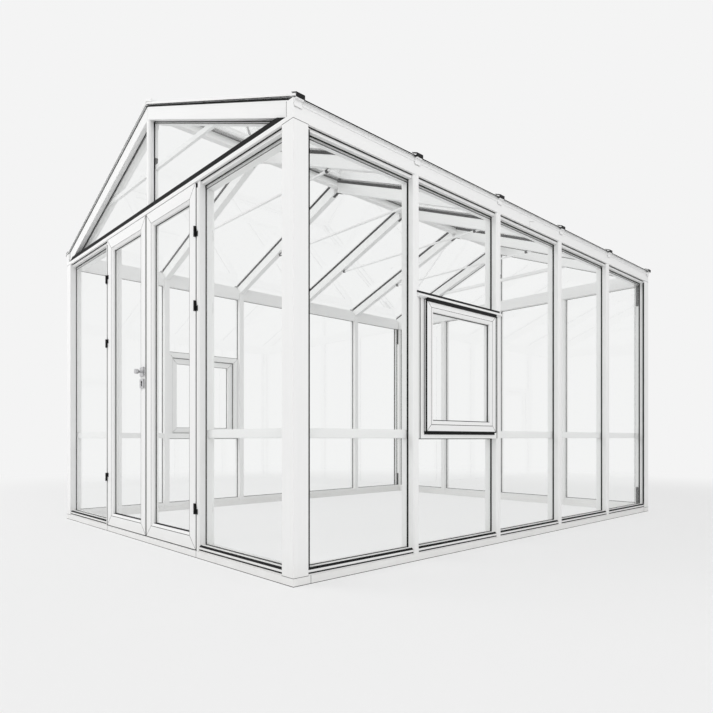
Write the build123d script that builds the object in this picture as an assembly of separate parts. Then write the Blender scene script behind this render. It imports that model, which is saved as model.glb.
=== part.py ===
"""White timber greenhouse with a gable roof, glazed walls and a pair of doors.

Units are millimetres. The origin is the middle of the footprint on the ground.
X runs across the gable, Y along the house with the doors at -Y, and Z is up.
"Setback" is a distance inwards from the outer plane of a wall.
"""

import math
import os

from build123d import *

# Overall
house_width = 2930.0
bay_count = 5
bay_pitch = 747.0
corner_size = 82.0
head_height = 1975.0
roof_pitch = 21.35
fit_gap = 1.0
joint_gap = 1.2

# Plinth under the walls
plinth_height = 36.0
plinth_depth = 95.0

# Wall posts, each with a cap outside the glass
post_width = 45.0
post_inner_face = 88.0
cap_depth = 40.0
cap_chamfer = 9.0
glass_zone = 10.0
glass_thickness = 4.0
tongue_width = 8.0
back_post_offset = 712.0

# Rails between the posts
rail_face_setback = 6.0
rail_height = 32.0
rail_groove = 8.0
rail_chamfer = 9.0
mid_rail_bottom = 629.0
mid_rail_height = 43.0
mid_rail_setback = 54.0
head_plate_drop = 30.0
head_plate_height = 85.0
head_plate_depth = 30.0
head_bead_height = 18.0
head_bead_depth = 22.0

# Eaves and gables
eaves_beam_depth = 50.0
eaves_beam_height = 87.0
scarf_reach = 32.0
scarf_tooth = 16.0
trim_height = 25.0
trim_thickness = 3.0
tie_face_height = 22.0
tie_inner_drop = 35.0
tie_inner_height = 100.0
tie_depth = 95.0
tie_groove = 12.0
flashing_height = 34.0
flashing_setback = 2.0
flashing_slope = 7.0
barge_depth = 80.0
barge_setback = 10.0
verge_seal_height = 8.0
gable_glass_bite = 15.0
king_cap_width = 45.0
king_post_depth = 18.0
gable_rail_rise = 273.0
gable_rail_height = 30.0
gable_rail_depth = 18.0

# Roof timbers
rafter_width = 45.0
rafter_depth = 88.0
ridge_beam_width = 45.0
ridge_beam_depth = 60.0
tie_rod_radius = 8.0
tie_rod_rise = 255.0

# Roof covering
roof_overhang = 15.0
roof_glass_ridge_gap = 12.0
roof_pane_gap = 8.0
roof_cap_height = 14.0
roof_cap_chamfer = 5.0
ridge_board_width = 68.0
ridge_board_thickness = 16.0
clip_width = 42.0
clip_thickness = 4.0
clip_drop = 38.0

# Windows in the long walls, counted from the door end
window_bay = 1
window_bottom = 626.0
window_height = 757.0
window_frame_width = 33.0
window_stop_width = 12.0
window_stop_setback = 32.0
window_gap = 4.0
sash_width = 57.0
sash_proud = 16.0
sash_bevel_width = 20.0
sash_bevel_depth = 6.0
sash_glass_setback = 4.0
groove_depth = 12.0
groove_width = 8.0
drip_reach = 24.0
drip_height = 26.0
drip_slope = 12.0
drip_lip = 8.0

# Doors
door_half_opening = 622.0
door_post_face = 26.0
door_stop = 17.0
door_gap = 5.0
door_end_gap = 6.0
door_stile_width = 82.0
door_thickness = 42.0
door_bevel_width = 14.0
door_bevel_depth = 10.0
door_glass_setback = 24.0
hinge_barrel_radius = 6.5
hinge_pin_radius = 3.5
hinge_pin_clearance = 0.1
hinge_knuckle_height = 27.0
hinge_knuckle_gap = 1.0
hinge_axis_proud = 7.0
hinge_plate_thickness = 2.5
hinge_plate_width = 22.0
hinge_heights_right = (257.0, 1322.0, 1712.0)
hinge_heights_left = (366.0, 1270.0, 1704.0)
rose_size = 55.0
rose_thickness = 8.0
knob_height = 1031.0
lock_spacing = 72.0
knob_radius = 15.0
knob_neck_radius = 8.0
knob_neck = 22.0
knob_length = 18.0
keyhole_radius = 5.0

# Derived positions
half_width = house_width / 2
half_length = (bay_count * bay_pitch + corner_size) / 2
roof_rise = math.tan(math.radians(roof_pitch))
roof_cosine = math.cos(math.radians(roof_pitch))
eaves_top = head_height + eaves_beam_height
glass_back = cap_depth + glass_zone
glass_face = cap_depth + (glass_zone - glass_thickness) / 2
rail_top = plinth_height + rail_height
glass_foot = rail_top - rail_groove
tie_face_top = head_height + tie_face_height
tie_inner_bottom = head_height - tie_inner_drop
tie_inner_top = tie_inner_bottom + tie_inner_height
rafter_drop = rafter_depth / roof_cosine
barge_drop = barge_depth / roof_cosine
tie_rod_height = head_height + tie_rod_rise
flashing_top = tie_face_top + flashing_height
eaves_inner = half_width - eaves_beam_depth
back_post_lines = (-back_post_offset, 0, back_post_offset)
post_lines = [corner_size / 2 - half_length + i * bay_pitch for i in range(bay_count + 1)]
gable_rafter_line = half_length - glass_back - rafter_width / 2
rafter_lines = [-gable_rafter_line] + post_lines[1:-1] + [gable_rafter_line]

front = Location((0, -half_length, 0))
back = Location((0, half_length, 0), (0, 0, 180))
right = Location((half_width, 0, 0), (0, 0, 90))


def roof_z(x):
    """Height of the roof plane, where the glass rests on the rafters."""
    return eaves_top + (half_width - abs(x)) * roof_rise


def block(x0, x1, y0, y1, z0, z1):
    """Upright box between two corners."""
    centre = Pos((x0 + x1) / 2, (y0 + y1) / 2, (z0 + z1) / 2)
    return centre * Box(x1 - x0, y1 - y0, z1 - z0)


def prism(points, path):
    """Solid swept straight along a path from a flat outline of 3-D points."""
    outline = make_face(Polyline(*points, close=True))
    return extrude(outline, amount=Vector(*path).length, dir=path)


def upright(points, z0, z1):
    """Upright solid on an (x, y) outline."""
    return prism([(x, y, z0) for x, y in points], (0, 0, z1 - z0))


def along_wall(points, u0, u1):
    """Solid along a wall on a (setback, z) outline."""
    return prism([(u0, t, z) for t, z in points], (u1 - u0, 0, 0))


def along_house(points, y0, y1):
    """Solid along the house on an (x, z) outline."""
    return prism([(x, y0, z) for x, z in points], (0, y1 - y0, 0))


def mirror_x(shape):
    """The same piece on the other long side."""
    return mirror(shape, about=Plane.YZ)


def mirror_y(shape):
    """The same piece on the other gable."""
    return mirror(shape, about=Plane.XZ)


def save(name, pieces):
    """Writes one node of one or more separate solids."""
    solids = [solid for piece in pieces for solid in piece.solids()]
    shape = solids[0] if len(solids) == 1 else Compound(children=solids)
    export_step(shape, f"parts/{name}.step")


def spans(lines, half_post):
    """Clear widths between the posts of a wall, from corner post to corner post."""
    starts = [lines[0] + corner_size / 2] + [line + half_post for line in lines[1:-1]]
    ends = [line - half_post for line in lines[1:-1]] + [lines[-1] - corner_size / 2]
    return list(zip(starts, ends))


def mitred_frame(width, height, member_width, profile):
    """Four mitred members of one profile, as (rails, stiles).

    The profile is an outline of (distance in from the frame's outer edge, setback).
    The frame's lower left outer corner is at the local origin.
    """
    deepest = max(t for _, t in profile)
    nearest = min(t for _, t in profile)
    depth = (0, deepest - nearest, 0)
    m = member_width
    rail_shape = [(0, 0), (width, 0), (width - m, m), (m, m)]
    stile_shape = [(0, 0), (m, m), (m, height - m), (0, height)]
    rail_cut = prism([(x, nearest, z) for x, z in rail_shape], depth)
    stile_cut = prism([(x, nearest, z) for x, z in stile_shape], depth)
    rail = prism([(0, t, a) for a, t in profile], (width, 0, 0)) & rail_cut
    stile = prism([(a, t, 0) for a, t in profile], (0, 0, height)) & stile_cut
    top_rail = Pos(0, 0, height) * mirror(rail, about=Plane.XY)
    far_stile = Pos(width, 0, 0) * mirror(stile, about=Plane.YZ)
    return [rail, top_rail], [stile, far_stile]


def grooved_profile(member_width, bevel_width, bevel_depth, face, glass_setback, back_face):
    """Outline of a sash or door member with a bevelled, grooved inner edge."""
    groove_start = face + glass_setback - (groove_width - glass_thickness) / 2
    groove_end = groove_start + groove_width
    groove_floor = member_width - groove_depth
    return [
        (0, face),
        (member_width - bevel_width, face),
        (member_width, face + bevel_depth),
        (member_width, groove_start),
        (groove_floor, groove_start),
        (groove_floor, groove_end),
        (member_width, groove_end),
        (member_width, back_face),
        (0, back_face),
    ]


def grooved_pane(width, height, member_width, face, glass_setback):
    """Pane that stands in the groove of a mitred frame."""
    foot = member_width - groove_depth
    edge = foot + fit_gap
    near = face + glass_setback
    return block(edge, width - edge, near, near + glass_thickness, foot, height - edge)


def plinths():
    """Timbers on the ground; the end timbers run through to the corners."""
    for_ends = [
        front * block(door_half_opening, half_width, 0, plinth_depth, 0, plinth_height),
        front * block(-half_width, -door_half_opening, 0, plinth_depth, 0, plinth_height),
        back * block(-half_width, half_width, 0, plinth_depth, 0, plinth_height),
    ]
    side_end = half_length - plinth_depth
    halves = [(-side_end, -joint_gap / 2), (joint_gap / 2, side_end)]
    right_side = [right * block(u0, u1, 0, plinth_depth, 0, plinth_height) for u0, u1 in halves]
    save("end_plinths", for_ends)
    save("side_plinths", right_side + [mirror_x(piece) for piece in right_side])
    sill = block(-door_half_opening, door_half_opening, 0, plinth_depth, 0, plinth_height)
    save("door_threshold", [front * sill])


def corner_posts():
    """Square posts that carry the eaves beams and tie beams."""
    x0 = half_width - corner_size
    y0 = half_length - corner_size
    post = block(x0, half_width, y0, half_length, plinth_height, head_height)
    pair = [post, mirror_x(post)]
    save("corner_posts", pair + [mirror_y(piece) for piece in pair])


def wall_posts():
    """Posts behind the glass, with a tongue that carries the cap."""
    half = post_width / 2
    tongue = tongue_width / 2
    near_top = roof_z(half_width - glass_back) - rafter_drop
    far_top = roof_z(half_width - post_inner_face) - rafter_drop
    side_outline = [
        (glass_back, plinth_height),
        (post_inner_face, plinth_height),
        (post_inner_face, far_top),
        (glass_back, near_top),
    ]
    side_post = along_wall(side_outline, -half, half)
    side_post += block(-tongue, tongue, cap_depth, glass_back, plinth_height, head_height)
    back_post = block(-half, half, glass_back, post_inner_face, plinth_height, tie_inner_bottom)
    back_post += block(-tongue, tongue, cap_depth, glass_back, plinth_height, head_height)
    right_posts = [right * Pos(line, 0, 0) * side_post for line in post_lines[1:-1]]
    back_posts = [back * Pos(line, 0, 0) * back_post for line in back_post_lines]
    save("wall_posts", right_posts + [mirror_x(post) for post in right_posts] + back_posts)


def cap_outline(width, face):
    """Plan of a glazing cap, chamfered at its two outer edges."""
    half = width / 2
    flat = half - cap_chamfer
    shoulder = face + cap_chamfer
    return [
        (-half, cap_depth),
        (half, cap_depth),
        (half, shoulder),
        (flat, face),
        (-flat, face),
        (-half, shoulder),
    ]


def glazing_caps():
    """Chamfered caps that hold the glass against the posts from outside."""
    cap = upright(cap_outline(post_width, 0), plinth_height, head_height)
    right_caps = [right * Pos(line, 0, 0) * cap for line in post_lines[1:-1]]
    back_caps = [back * Pos(line, 0, 0) * cap for line in back_post_lines]
    barge_under = roof_z(0) - barge_drop
    gable_space = [
        (0, barge_under),
        (half_width, barge_under - half_width * roof_rise),
        (-half_width, barge_under - half_width * roof_rise),
    ]
    king_plan = cap_outline(king_cap_width, barge_setback)
    king_cap = front * upright(king_plan, flashing_top, barge_under)
    king_cap = king_cap & along_house(gable_space, -half_length, half_length)
    side_caps = right_caps + [mirror_x(cap) for cap in right_caps]
    save("glazing_caps", side_caps + back_caps + [king_cap, mirror_y(king_cap)])


def door_posts():
    """Rebated posts beside the doors."""
    outer = door_half_opening + door_post_face
    stop = door_half_opening - door_stop
    outline = [
        (door_half_opening, 0),
        (outer - cap_chamfer, 0),
        (outer, cap_chamfer),
        (outer, tie_depth),
        (stop, tie_depth),
        (stop, glass_back),
        (door_half_opening, glass_back),
    ]
    post = upright(outline, plinth_height, tie_inner_bottom)
    tenon = block(door_half_opening, outer, cap_chamfer, cap_depth, tie_inner_bottom, head_height)
    post = front * (post + tenon)
    save("door_posts", [post, mirror_x(post)])


def gable_rails():
    """Rails behind the front gable's glass, from the king post to the rafters."""
    foot = head_height + gable_rail_rise
    under = roof_z(0) - rafter_drop
    back_face = glass_back + gable_rail_depth
    rail = block(post_width / 2, half_width, glass_back, back_face, foot, foot + gable_rail_height)
    space = [(0, under), (half_width, under - half_width * roof_rise), (0, head_height)]
    rail = front * rail & along_house(space, -half_length, half_length)
    return [rail, mirror_x(rail)]


def wall_rails():
    """Bottom rails, mid rails, head plates and head beads of every bay, and the gables' rails."""
    bottom_outline = [
        (rail_face_setback, plinth_height),
        (corner_size, plinth_height),
        (corner_size, rail_top),
        (glass_back, rail_top),
        (glass_back, glass_foot),
        (cap_depth, glass_foot),
        (cap_depth, rail_top),
        (rail_face_setback + rail_chamfer, rail_top),
        (rail_face_setback, rail_top - rail_chamfer),
    ]
    mid_top = mid_rail_bottom + mid_rail_height
    plate_bottom = head_height - head_plate_drop
    plate_top = plate_bottom + head_plate_height
    plate_back = glass_back + head_plate_depth
    bead_front = cap_depth - head_bead_depth
    bead_bottom = head_height - head_bead_height

    def bay(u0, u1):
        """Rails of one bay below the eaves beam or tie beam."""
        return [
            along_wall(bottom_outline, u0, u1),
            block(u0, u1, mid_rail_setback, corner_size, mid_rail_bottom, mid_top),
            block(u0, u1, bead_front, cap_depth, bead_bottom, head_height),
        ]

    half = post_width / 2
    right_rails = []
    for u0, u1 in spans(post_lines, half):
        plate_start = max(u0, tie_depth - half_length)
        plate_end = min(u1, half_length - tie_depth)
        plate = block(plate_start, plate_end, glass_back, plate_back, plate_bottom, plate_top)
        right_rails += [right * piece for piece in bay(u0, u1) + [plate]]
    save("right_wall_rails", right_rails)
    save("left_wall_rails", [mirror_x(piece) for piece in right_rails])

    corner_line = half_width - corner_size / 2
    back_lines = [-corner_line, -back_post_offset, 0, back_post_offset, corner_line]
    back_rails = []
    for u0, u1 in spans(back_lines, half):
        back_rails += [back * piece for piece in bay(u0, u1)]
    front_gable = gable_rails()
    save("back_wall_rails", back_rails + [mirror_y(rail) for rail in front_gable])

    beside_door = door_half_opening + door_post_face
    sidelight = [front * piece for piece in bay(beside_door, half_width - corner_size)]
    save("front_wall_rails", sidelight + [mirror_x(piece) for piece in sidelight] + front_gable)


def wall_pane(u0, u1, z0, z1):
    """Pane of a wall in its own local frame."""
    return block(u0, u1, glass_face, glass_face + glass_thickness, z0, z1)


def wall_glass():
    """Fixed panes of the walls, one to a bay, split above and below a window."""
    edge = tongue_width / 2 + fit_gap
    side_top = head_height - fit_gap
    end_top = head_height + tie_groove - fit_gap
    side_edges = spans(post_lines, edge)
    right_panes = []
    for bay, (u0, u1) in enumerate(side_edges):
        first = u0 + fit_gap if bay == 0 else u0
        last = u1 - fit_gap if bay == bay_count - 1 else u1
        if bay == window_bay:
            right_panes.append(right * wall_pane(first, last, glass_foot, window_bottom))
            right_panes.append(right * wall_pane(first, last, window_bottom + window_height, side_top))
        else:
            right_panes.append(right * wall_pane(first, last, glass_foot, side_top))
    save("right_wall_glass", right_panes)
    save("left_wall_glass", [mirror_x(pane) for pane in right_panes])

    inner = edge
    outer = half_width - corner_size - fit_gap
    quarter = [
        wall_pane(inner, back_post_offset - edge, glass_foot, end_top),
        wall_pane(back_post_offset + edge, outer, glass_foot, end_top),
    ]
    back_panes = [back * pane for pane in quarter]
    save("back_wall_glass", back_panes + [mirror_x(pane) for pane in back_panes])

    beside_door = door_half_opening + door_post_face + fit_gap
    sidelight = front * wall_pane(beside_door, outer, glass_foot, end_top)
    save("sidelight_glass", [sidelight, mirror_x(sidelight)])


def eaves():
    """Eaves beams, each of two timbers joined by a hooked scarf at mid length."""
    half_kerf = joint_gap / 2
    tooth_bottom = head_height + (eaves_beam_height - scarf_tooth) / 2
    tooth_top = tooth_bottom + scarf_tooth
    near_half = [
        (-half_length, head_height),
        (-scarf_reach - half_kerf, head_height),
        (-scarf_reach - half_kerf, tooth_bottom + half_kerf),
        (scarf_reach - half_kerf, tooth_top + half_kerf),
        (scarf_reach - half_kerf, eaves_top),
        (-half_length, eaves_top),
    ]
    far_half = [
        (half_length, head_height),
        (-scarf_reach + half_kerf, head_height),
        (-scarf_reach + half_kerf, tooth_bottom - half_kerf),
        (scarf_reach + half_kerf, tooth_top - half_kerf),
        (scarf_reach + half_kerf, eaves_top),
        (half_length, eaves_top),
    ]
    depth = (eaves_beam_depth, 0, 0)
    halves = (near_half, far_half)
    right_beams = [prism([(eaves_inner, y, z) for y, z in outline], depth) for outline in halves]
    save("eaves_beams", right_beams + [mirror_x(beam) for beam in right_beams])
    trim_end = half_width + trim_thickness
    trim_foot = eaves_top - trim_height
    trim = block(half_width, trim_end, -half_length, half_length, trim_foot, roof_z(trim_end))
    save("eaves_trims", [trim, mirror_x(trim)])


def tie_beams():
    """Beams across the gables, grooved for the glass, with the black seals of the gables."""
    outline = [
        (0, head_height),
        (cap_depth, head_height),
        (cap_depth, head_height + tie_groove),
        (glass_back, head_height + tie_groove),
        (glass_back, tie_inner_bottom),
        (tie_depth, tie_inner_bottom),
        (tie_depth, tie_inner_top),
        (glass_back, tie_inner_top),
        (glass_back, tie_face_top),
        (0, tie_face_top),
    ]
    side_inner = half_width - corner_size
    beam = along_wall(outline, -eaves_inner, eaves_inner)
    ends = block(side_inner, eaves_inner, 0, tie_depth, tie_inner_bottom, head_height)
    beam = front * (beam - ends - mirror_x(ends))
    save("tie_beams", [beam, mirror_y(beam)])

    lip = [
        (flashing_setback, tie_face_top),
        (cap_depth, tie_face_top),
        (cap_depth, flashing_top),
        (flashing_setback, flashing_top - flashing_slope),
    ]
    flashing = front * along_wall(lip, -eaves_inner, eaves_inner)
    barge_under = [
        (0, roof_z(0) - barge_drop),
        (eaves_inner, roof_z(eaves_inner) - barge_drop),
        (eaves_inner, 0),
        (-eaves_inner, 0),
        (-eaves_inner, roof_z(eaves_inner) - barge_drop),
    ]
    flashing = flashing & along_house(barge_under, -half_length, half_length)
    verge = sloped(eaves_inner, joint_gap / 2, -verge_seal_height, 0)
    seal = along_house(verge, barge_setback - half_length, cap_depth - half_length)
    front_seals = [flashing, seal, mirror_x(seal)]
    save("gable_flashings", front_seals + [mirror_y(piece) for piece in front_seals])


def sloped(x_low, x_high, under, over):
    """(x, z) outline of a strip of the right slope with plumb-cut ends."""
    return [
        (x_low, roof_z(x_low) + under / roof_cosine),
        (x_low, roof_z(x_low) + over / roof_cosine),
        (x_high, roof_z(x_high) + over / roof_cosine),
        (x_high, roof_z(x_high) + under / roof_cosine),
    ]


def gables():
    """Barge boards, king posts and the glass of both gables."""
    outline = sloped(eaves_inner, joint_gap / 2, -barge_depth, -verge_seal_height)
    board = along_house(outline, barge_setback - half_length, cap_depth - half_length)
    seat = block(0, half_width, -half_length, half_length, 0, tie_face_top)
    board = board - seat
    pair = [board, mirror_x(board)]
    save("barge_boards", pair + [mirror_y(piece) for piece in pair])

    half = post_width / 2
    ridge_under = roof_z(0) - ridge_beam_depth
    king_back = glass_back + king_post_depth
    king_post = front * block(-half, half, glass_back, king_back, tie_inner_top, ridge_under)
    tongue = tongue_width / 2
    tongue_top = roof_z(tongue) - barge_drop
    king_post += front * block(-tongue, tongue, cap_depth, glass_back, tie_face_top, tongue_top)
    save("king_posts", [king_post, mirror_y(king_post)])

    drop = (barge_depth - gable_glass_bite) / roof_cosine
    edge = tongue + fit_gap
    outer = eaves_inner - fit_gap
    corners = [
        (edge, tie_face_top),
        (outer, tie_face_top),
        (outer, roof_z(outer) - drop),
        (edge, roof_z(edge) - drop),
    ]
    near = glass_face - half_length
    pane = along_house(corners, near, near + glass_thickness)
    panes = [pane, mirror_x(pane)]
    save("gable_glass", panes + [mirror_y(piece) for piece in panes])


def roof_timbers():
    """Rafters that butt the eaves beams and the ridge beam, with their tie rods."""
    ridge_side = ridge_beam_width / 2
    half = rafter_width / 2
    outline = sloped(eaves_inner, ridge_side, -rafter_depth, 0)
    rafters = []
    for line in rafter_lines:
        rafter = along_house(outline, line - half, line + half)
        if line in (rafter_lines[0], rafter_lines[-1]):
            rafter = rafter - block(0, half_width, -half_length, half_length, 0, tie_inner_top)
        rafters.append(rafter)
    save("rafters", rafters + [mirror_x(rafter) for rafter in rafters])

    ridge_under = roof_z(0) - ridge_beam_depth
    ridge_outline = [
        (-ridge_side, ridge_under),
        (ridge_side, ridge_under),
        (ridge_side, roof_z(ridge_side)),
        (0, roof_z(0)),
        (-ridge_side, roof_z(ridge_side)),
    ]
    ridge_end = half_length - glass_back
    save("ridge_beam", [along_house(ridge_outline, -ridge_end, ridge_end)])

    rafter_under = roof_z(0) - rafter_drop
    rafter_foot = roof_z(eaves_inner) - rafter_drop
    roof_space = [(0, rafter_under), (eaves_inner, rafter_foot), (0, head_height)]
    below_rafters = along_house(roof_space, -half_length, half_length)
    rods = []
    for line in rafter_lines[1:-1]:
        rod = Pos(0, line, tie_rod_height) * Rot(0, 90, 0) * Cylinder(tie_rod_radius, house_width)
        half_rod = rod & below_rafters
        rods.append(half_rod + mirror_x(half_rod))
    save("tie_rods", rods)


def roof_covering():
    """Panes on the rafters, caps over their joints, the two ridge boards and eaves clips."""
    eaves_edge = half_width + roof_overhang
    glass_outline = sloped(eaves_edge, roof_glass_ridge_gap, 0, glass_thickness)
    joints = [-half_length] + post_lines[1:-1] + [half_length]
    half_gap = roof_pane_gap / 2
    panes = []
    for bay in range(bay_count):
        y0 = joints[bay] + (half_gap if bay else 0)
        y1 = joints[bay + 1] - (half_gap if bay < bay_count - 1 else 0)
        panes.append(along_house(glass_outline, y0, y1))
    save("roof_glass", panes + [mirror_x(pane) for pane in panes])

    cap_top = glass_thickness + roof_cap_height
    cap_shoulder = cap_top - roof_cap_chamfer
    half = post_width / 2
    flat = half - roof_cap_chamfer
    section = [
        (-half, glass_thickness),
        (half, glass_thickness),
        (half, cap_shoulder),
        (flat, cap_top),
        (-flat, cap_top),
        (-half, cap_shoulder),
    ]
    ridge_edge = joint_gap / 2
    glass_low = roof_z(eaves_edge)
    upslope = (ridge_edge - eaves_edge, 0, roof_z(ridge_edge) - glass_low)
    lines = [half - half_length] + post_lines[1:-1] + [half_length - half]
    caps = []
    for line in lines:
        foot = [(eaves_edge, line + y, glass_low + lift / roof_cosine) for y, lift in section]
        caps.append(prism(foot, upslope))
    save("roof_caps", caps + [mirror_x(cap) for cap in caps])

    board_outline = sloped(ridge_board_width, ridge_edge, cap_top, cap_top + ridge_board_thickness)
    board = along_house(board_outline, -half_length, half_length)
    save("ridge_cap", [board, mirror_x(board)])

    seat = half_width + trim_thickness
    stop = eaves_edge + clip_thickness
    lip = glass_low - fit_gap
    hook = [
        (seat, eaves_top - clip_drop),
        (seat + clip_thickness, eaves_top - clip_drop),
        (seat + clip_thickness, lip - clip_thickness),
        (stop, lip - clip_thickness),
        (stop, glass_low + cap_top),
        (eaves_edge, glass_low + cap_top),
        (eaves_edge, lip),
        (seat, lip),
    ]
    clips = [along_house(hook, line - clip_width / 2, line + clip_width / 2) for line in lines]
    save("eaves_clips", clips + [mirror_x(clip) for clip in clips])


def windows():
    """Opening windows, shown shut, one in each long wall."""
    u0 = post_lines[window_bay] + post_width / 2
    width = bay_pitch - post_width
    corner = right * Pos(u0, 0, window_bottom)
    stop_edge = window_frame_width + window_stop_width
    frame_profile = [
        (0, 0),
        (window_frame_width, 0),
        (window_frame_width, window_stop_setback),
        (stop_edge, window_stop_setback),
        (stop_edge, glass_back),
        (0, glass_back),
    ]
    rails, jambs = mitred_frame(width, window_height, stop_edge, frame_profile)
    rails = [corner * piece for piece in rails]
    jambs = [corner * piece for piece in jambs]
    save("window_frame_rails", rails + [mirror_x(piece) for piece in rails])
    save("window_frame_jambs", jambs + [mirror_x(piece) for piece in jambs])

    inset = window_frame_width + window_gap
    sash_w = width - inset - inset
    sash_h = window_height - inset - inset
    sash_corner = right * Pos(u0 + inset, 0, window_bottom + inset)
    glass_depth = sash_proud + sash_glass_setback
    profile = grooved_profile(
        sash_width, sash_bevel_width, sash_bevel_depth, -sash_proud, glass_depth, window_stop_setback
    )
    rails, stiles = mitred_frame(sash_w, sash_h, sash_width, profile)
    rails = [sash_corner * piece for piece in rails]
    stiles = [sash_corner * piece for piece in stiles]
    save("window_sash_rails", rails + [mirror_x(piece) for piece in rails])
    save("window_sash_stiles", stiles + [mirror_x(piece) for piece in stiles])
    pane = sash_corner * grooved_pane(sash_w, sash_h, sash_width, -sash_proud, glass_depth)
    save("window_glass", [pane, mirror_x(pane)])

    drip_bottom = window_bottom + window_height - inset + window_gap
    drip_top = drip_bottom + drip_height
    drip_outline = [
        (0, drip_bottom),
        (0, drip_top),
        (-drip_reach, drip_top - drip_slope),
        (-drip_reach, drip_top - drip_slope - drip_lip),
    ]
    drip = right * along_wall(drip_outline, u0 - post_width / 2, u0 + width + post_width / 2)
    save("window_drip_caps", [drip, mirror_x(drip)])


def hinge_halves(height):
    """Lift-off hinge of the right leaf in the front wall, as (post half, leaf half)."""
    axis_x = door_half_opening - door_gap / 2
    knuckle = hinge_knuckle_height
    axis = Pos(axis_x, -hinge_axis_proud, 0)
    upright_align = (Align.CENTER, Align.CENTER, Align.MIN)
    low = height - knuckle - hinge_knuckle_gap / 2
    high = height + hinge_knuckle_gap / 2
    barrel = Cylinder(hinge_barrel_radius, knuckle, align=upright_align)
    pin = Cylinder(hinge_pin_radius, knuckle + hinge_knuckle_gap + knuckle, align=upright_align)
    bore = Cylinder(hinge_pin_radius + hinge_pin_clearance, knuckle, align=upright_align)
    post_plate = block(
        door_half_opening, axis_x + hinge_plate_width, -hinge_plate_thickness, 0, low, low + knuckle
    )
    leaf_edge = door_half_opening - door_gap
    leaf_plate = block(
        axis_x - hinge_plate_width, leaf_edge, -hinge_plate_thickness, 0, high, high + knuckle
    )
    post_half = axis * Pos(0, 0, low) * barrel + post_plate + axis * Pos(0, 0, low) * pin
    leaf_half = axis * Pos(0, 0, high) * barrel + leaf_plate - axis * Pos(0, 0, high) * bore
    return front * post_half, front * leaf_half


def doors():
    """Two glazed leaves that open outwards, with their hinges and lock furniture."""
    leaf_bottom = plinth_height + door_end_gap
    leaf_height = head_height - door_end_gap - leaf_bottom
    leaf_width = door_half_opening - door_gap - door_gap
    profile = grooved_profile(
        door_stile_width, door_bevel_width, door_bevel_depth, 0, door_glass_setback, door_thickness
    )
    corner = front * Pos(door_gap, 0, leaf_bottom)
    rails, stiles = mitred_frame(leaf_width, leaf_height, door_stile_width, profile)
    pane = grooved_pane(leaf_width, leaf_height, door_stile_width, 0, door_glass_setback)
    rails = [corner * piece for piece in rails]
    stiles = [corner * piece for piece in stiles]
    pane = corner * pane
    save("right_door_rails", rails)
    save("right_door_stiles", stiles)
    save("right_door_glass", [pane])
    save("left_door_rails", [mirror_x(piece) for piece in rails])
    save("left_door_stiles", [mirror_x(piece) for piece in stiles])
    save("left_door_glass", [mirror_x(pane)])

    right_hinges = [hinge_halves(height) for height in hinge_heights_right]
    left_hinges = [[mirror_x(half) for half in hinge_halves(height)] for height in hinge_heights_left]
    save("hinge_post_halves", [pair[0] for pair in right_hinges + left_hinges])
    save("right_door_hinges", [pair[1] for pair in right_hinges])
    save("left_door_hinges", [pair[1] for pair in left_hinges])

    stile_middle = -door_gap - door_stile_width / 2
    half_rose = rose_size / 2
    rose = block(-half_rose, half_rose, -rose_thickness, 0, -half_rose, half_rose)
    out = Rot(90, 0, 0)
    upright_align = (Align.CENTER, Align.CENTER, Align.MIN)
    neck = Pos(0, -rose_thickness, 0) * out * Cylinder(knob_neck_radius, knob_neck, align=upright_align)
    knob = Cylinder(knob_radius, knob_length, align=upright_align)
    knob = Pos(0, -rose_thickness - knob_neck, 0) * out * knob
    keyhole = Pos(0, -rose_thickness, 0) * out * Cylinder(keyhole_radius, rose_thickness)
    outer_knob = rose + neck + knob
    outer_lock = rose - keyhole
    place = front * Pos(stile_middle, 0, knob_height)
    lock_place = front * Pos(stile_middle, 0, knob_height - lock_spacing)
    inner_turn = Pos(0, door_thickness, 0) * Rot(0, 0, 180)
    furniture = [
        place * outer_knob,
        lock_place * outer_lock,
        place * inner_turn * outer_knob,
        lock_place * inner_turn * outer_lock,
    ]
    save("left_door_furniture", furniture)


def main():
    """Builds and writes every node."""
    os.makedirs("parts", exist_ok=True)
    plinths()
    corner_posts()
    wall_posts()
    glazing_caps()
    door_posts()
    wall_rails()
    wall_glass()
    eaves()
    tie_beams()
    gables()
    roof_timbers()
    roof_covering()
    windows()
    doors()


main()
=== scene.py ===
"""Dresses the white timber greenhouse: finishes, rubber seals, black strips of painted shade,
ironwork, light and camera.

Everything is in metres, in the house's own frame: X across the gable, Y along the house
with the doors at -Y, Z up. "Setback" is a distance inwards from the outer plane of a wall.
"""

import logging
import math
from dataclasses import dataclass
from enum import Enum
from typing import Sequence

import bmesh
import bpy
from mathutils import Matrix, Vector


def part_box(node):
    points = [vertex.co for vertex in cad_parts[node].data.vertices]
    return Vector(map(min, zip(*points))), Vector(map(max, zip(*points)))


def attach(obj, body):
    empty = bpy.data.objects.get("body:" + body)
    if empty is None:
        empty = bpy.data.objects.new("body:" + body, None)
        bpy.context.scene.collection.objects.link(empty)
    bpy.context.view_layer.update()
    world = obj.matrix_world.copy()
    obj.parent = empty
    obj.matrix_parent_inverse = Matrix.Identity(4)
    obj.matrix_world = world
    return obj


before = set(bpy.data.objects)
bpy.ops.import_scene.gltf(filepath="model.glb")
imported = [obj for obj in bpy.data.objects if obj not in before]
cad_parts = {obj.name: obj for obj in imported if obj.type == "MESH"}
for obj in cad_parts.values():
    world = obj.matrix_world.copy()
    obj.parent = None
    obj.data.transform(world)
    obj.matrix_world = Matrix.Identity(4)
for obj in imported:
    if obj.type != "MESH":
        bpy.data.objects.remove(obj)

log = logging.getLogger("greenhouse")
ROOF_PITCH_DEGREES = 21.35
BOTH_SIDES = (1, -1)

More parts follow.
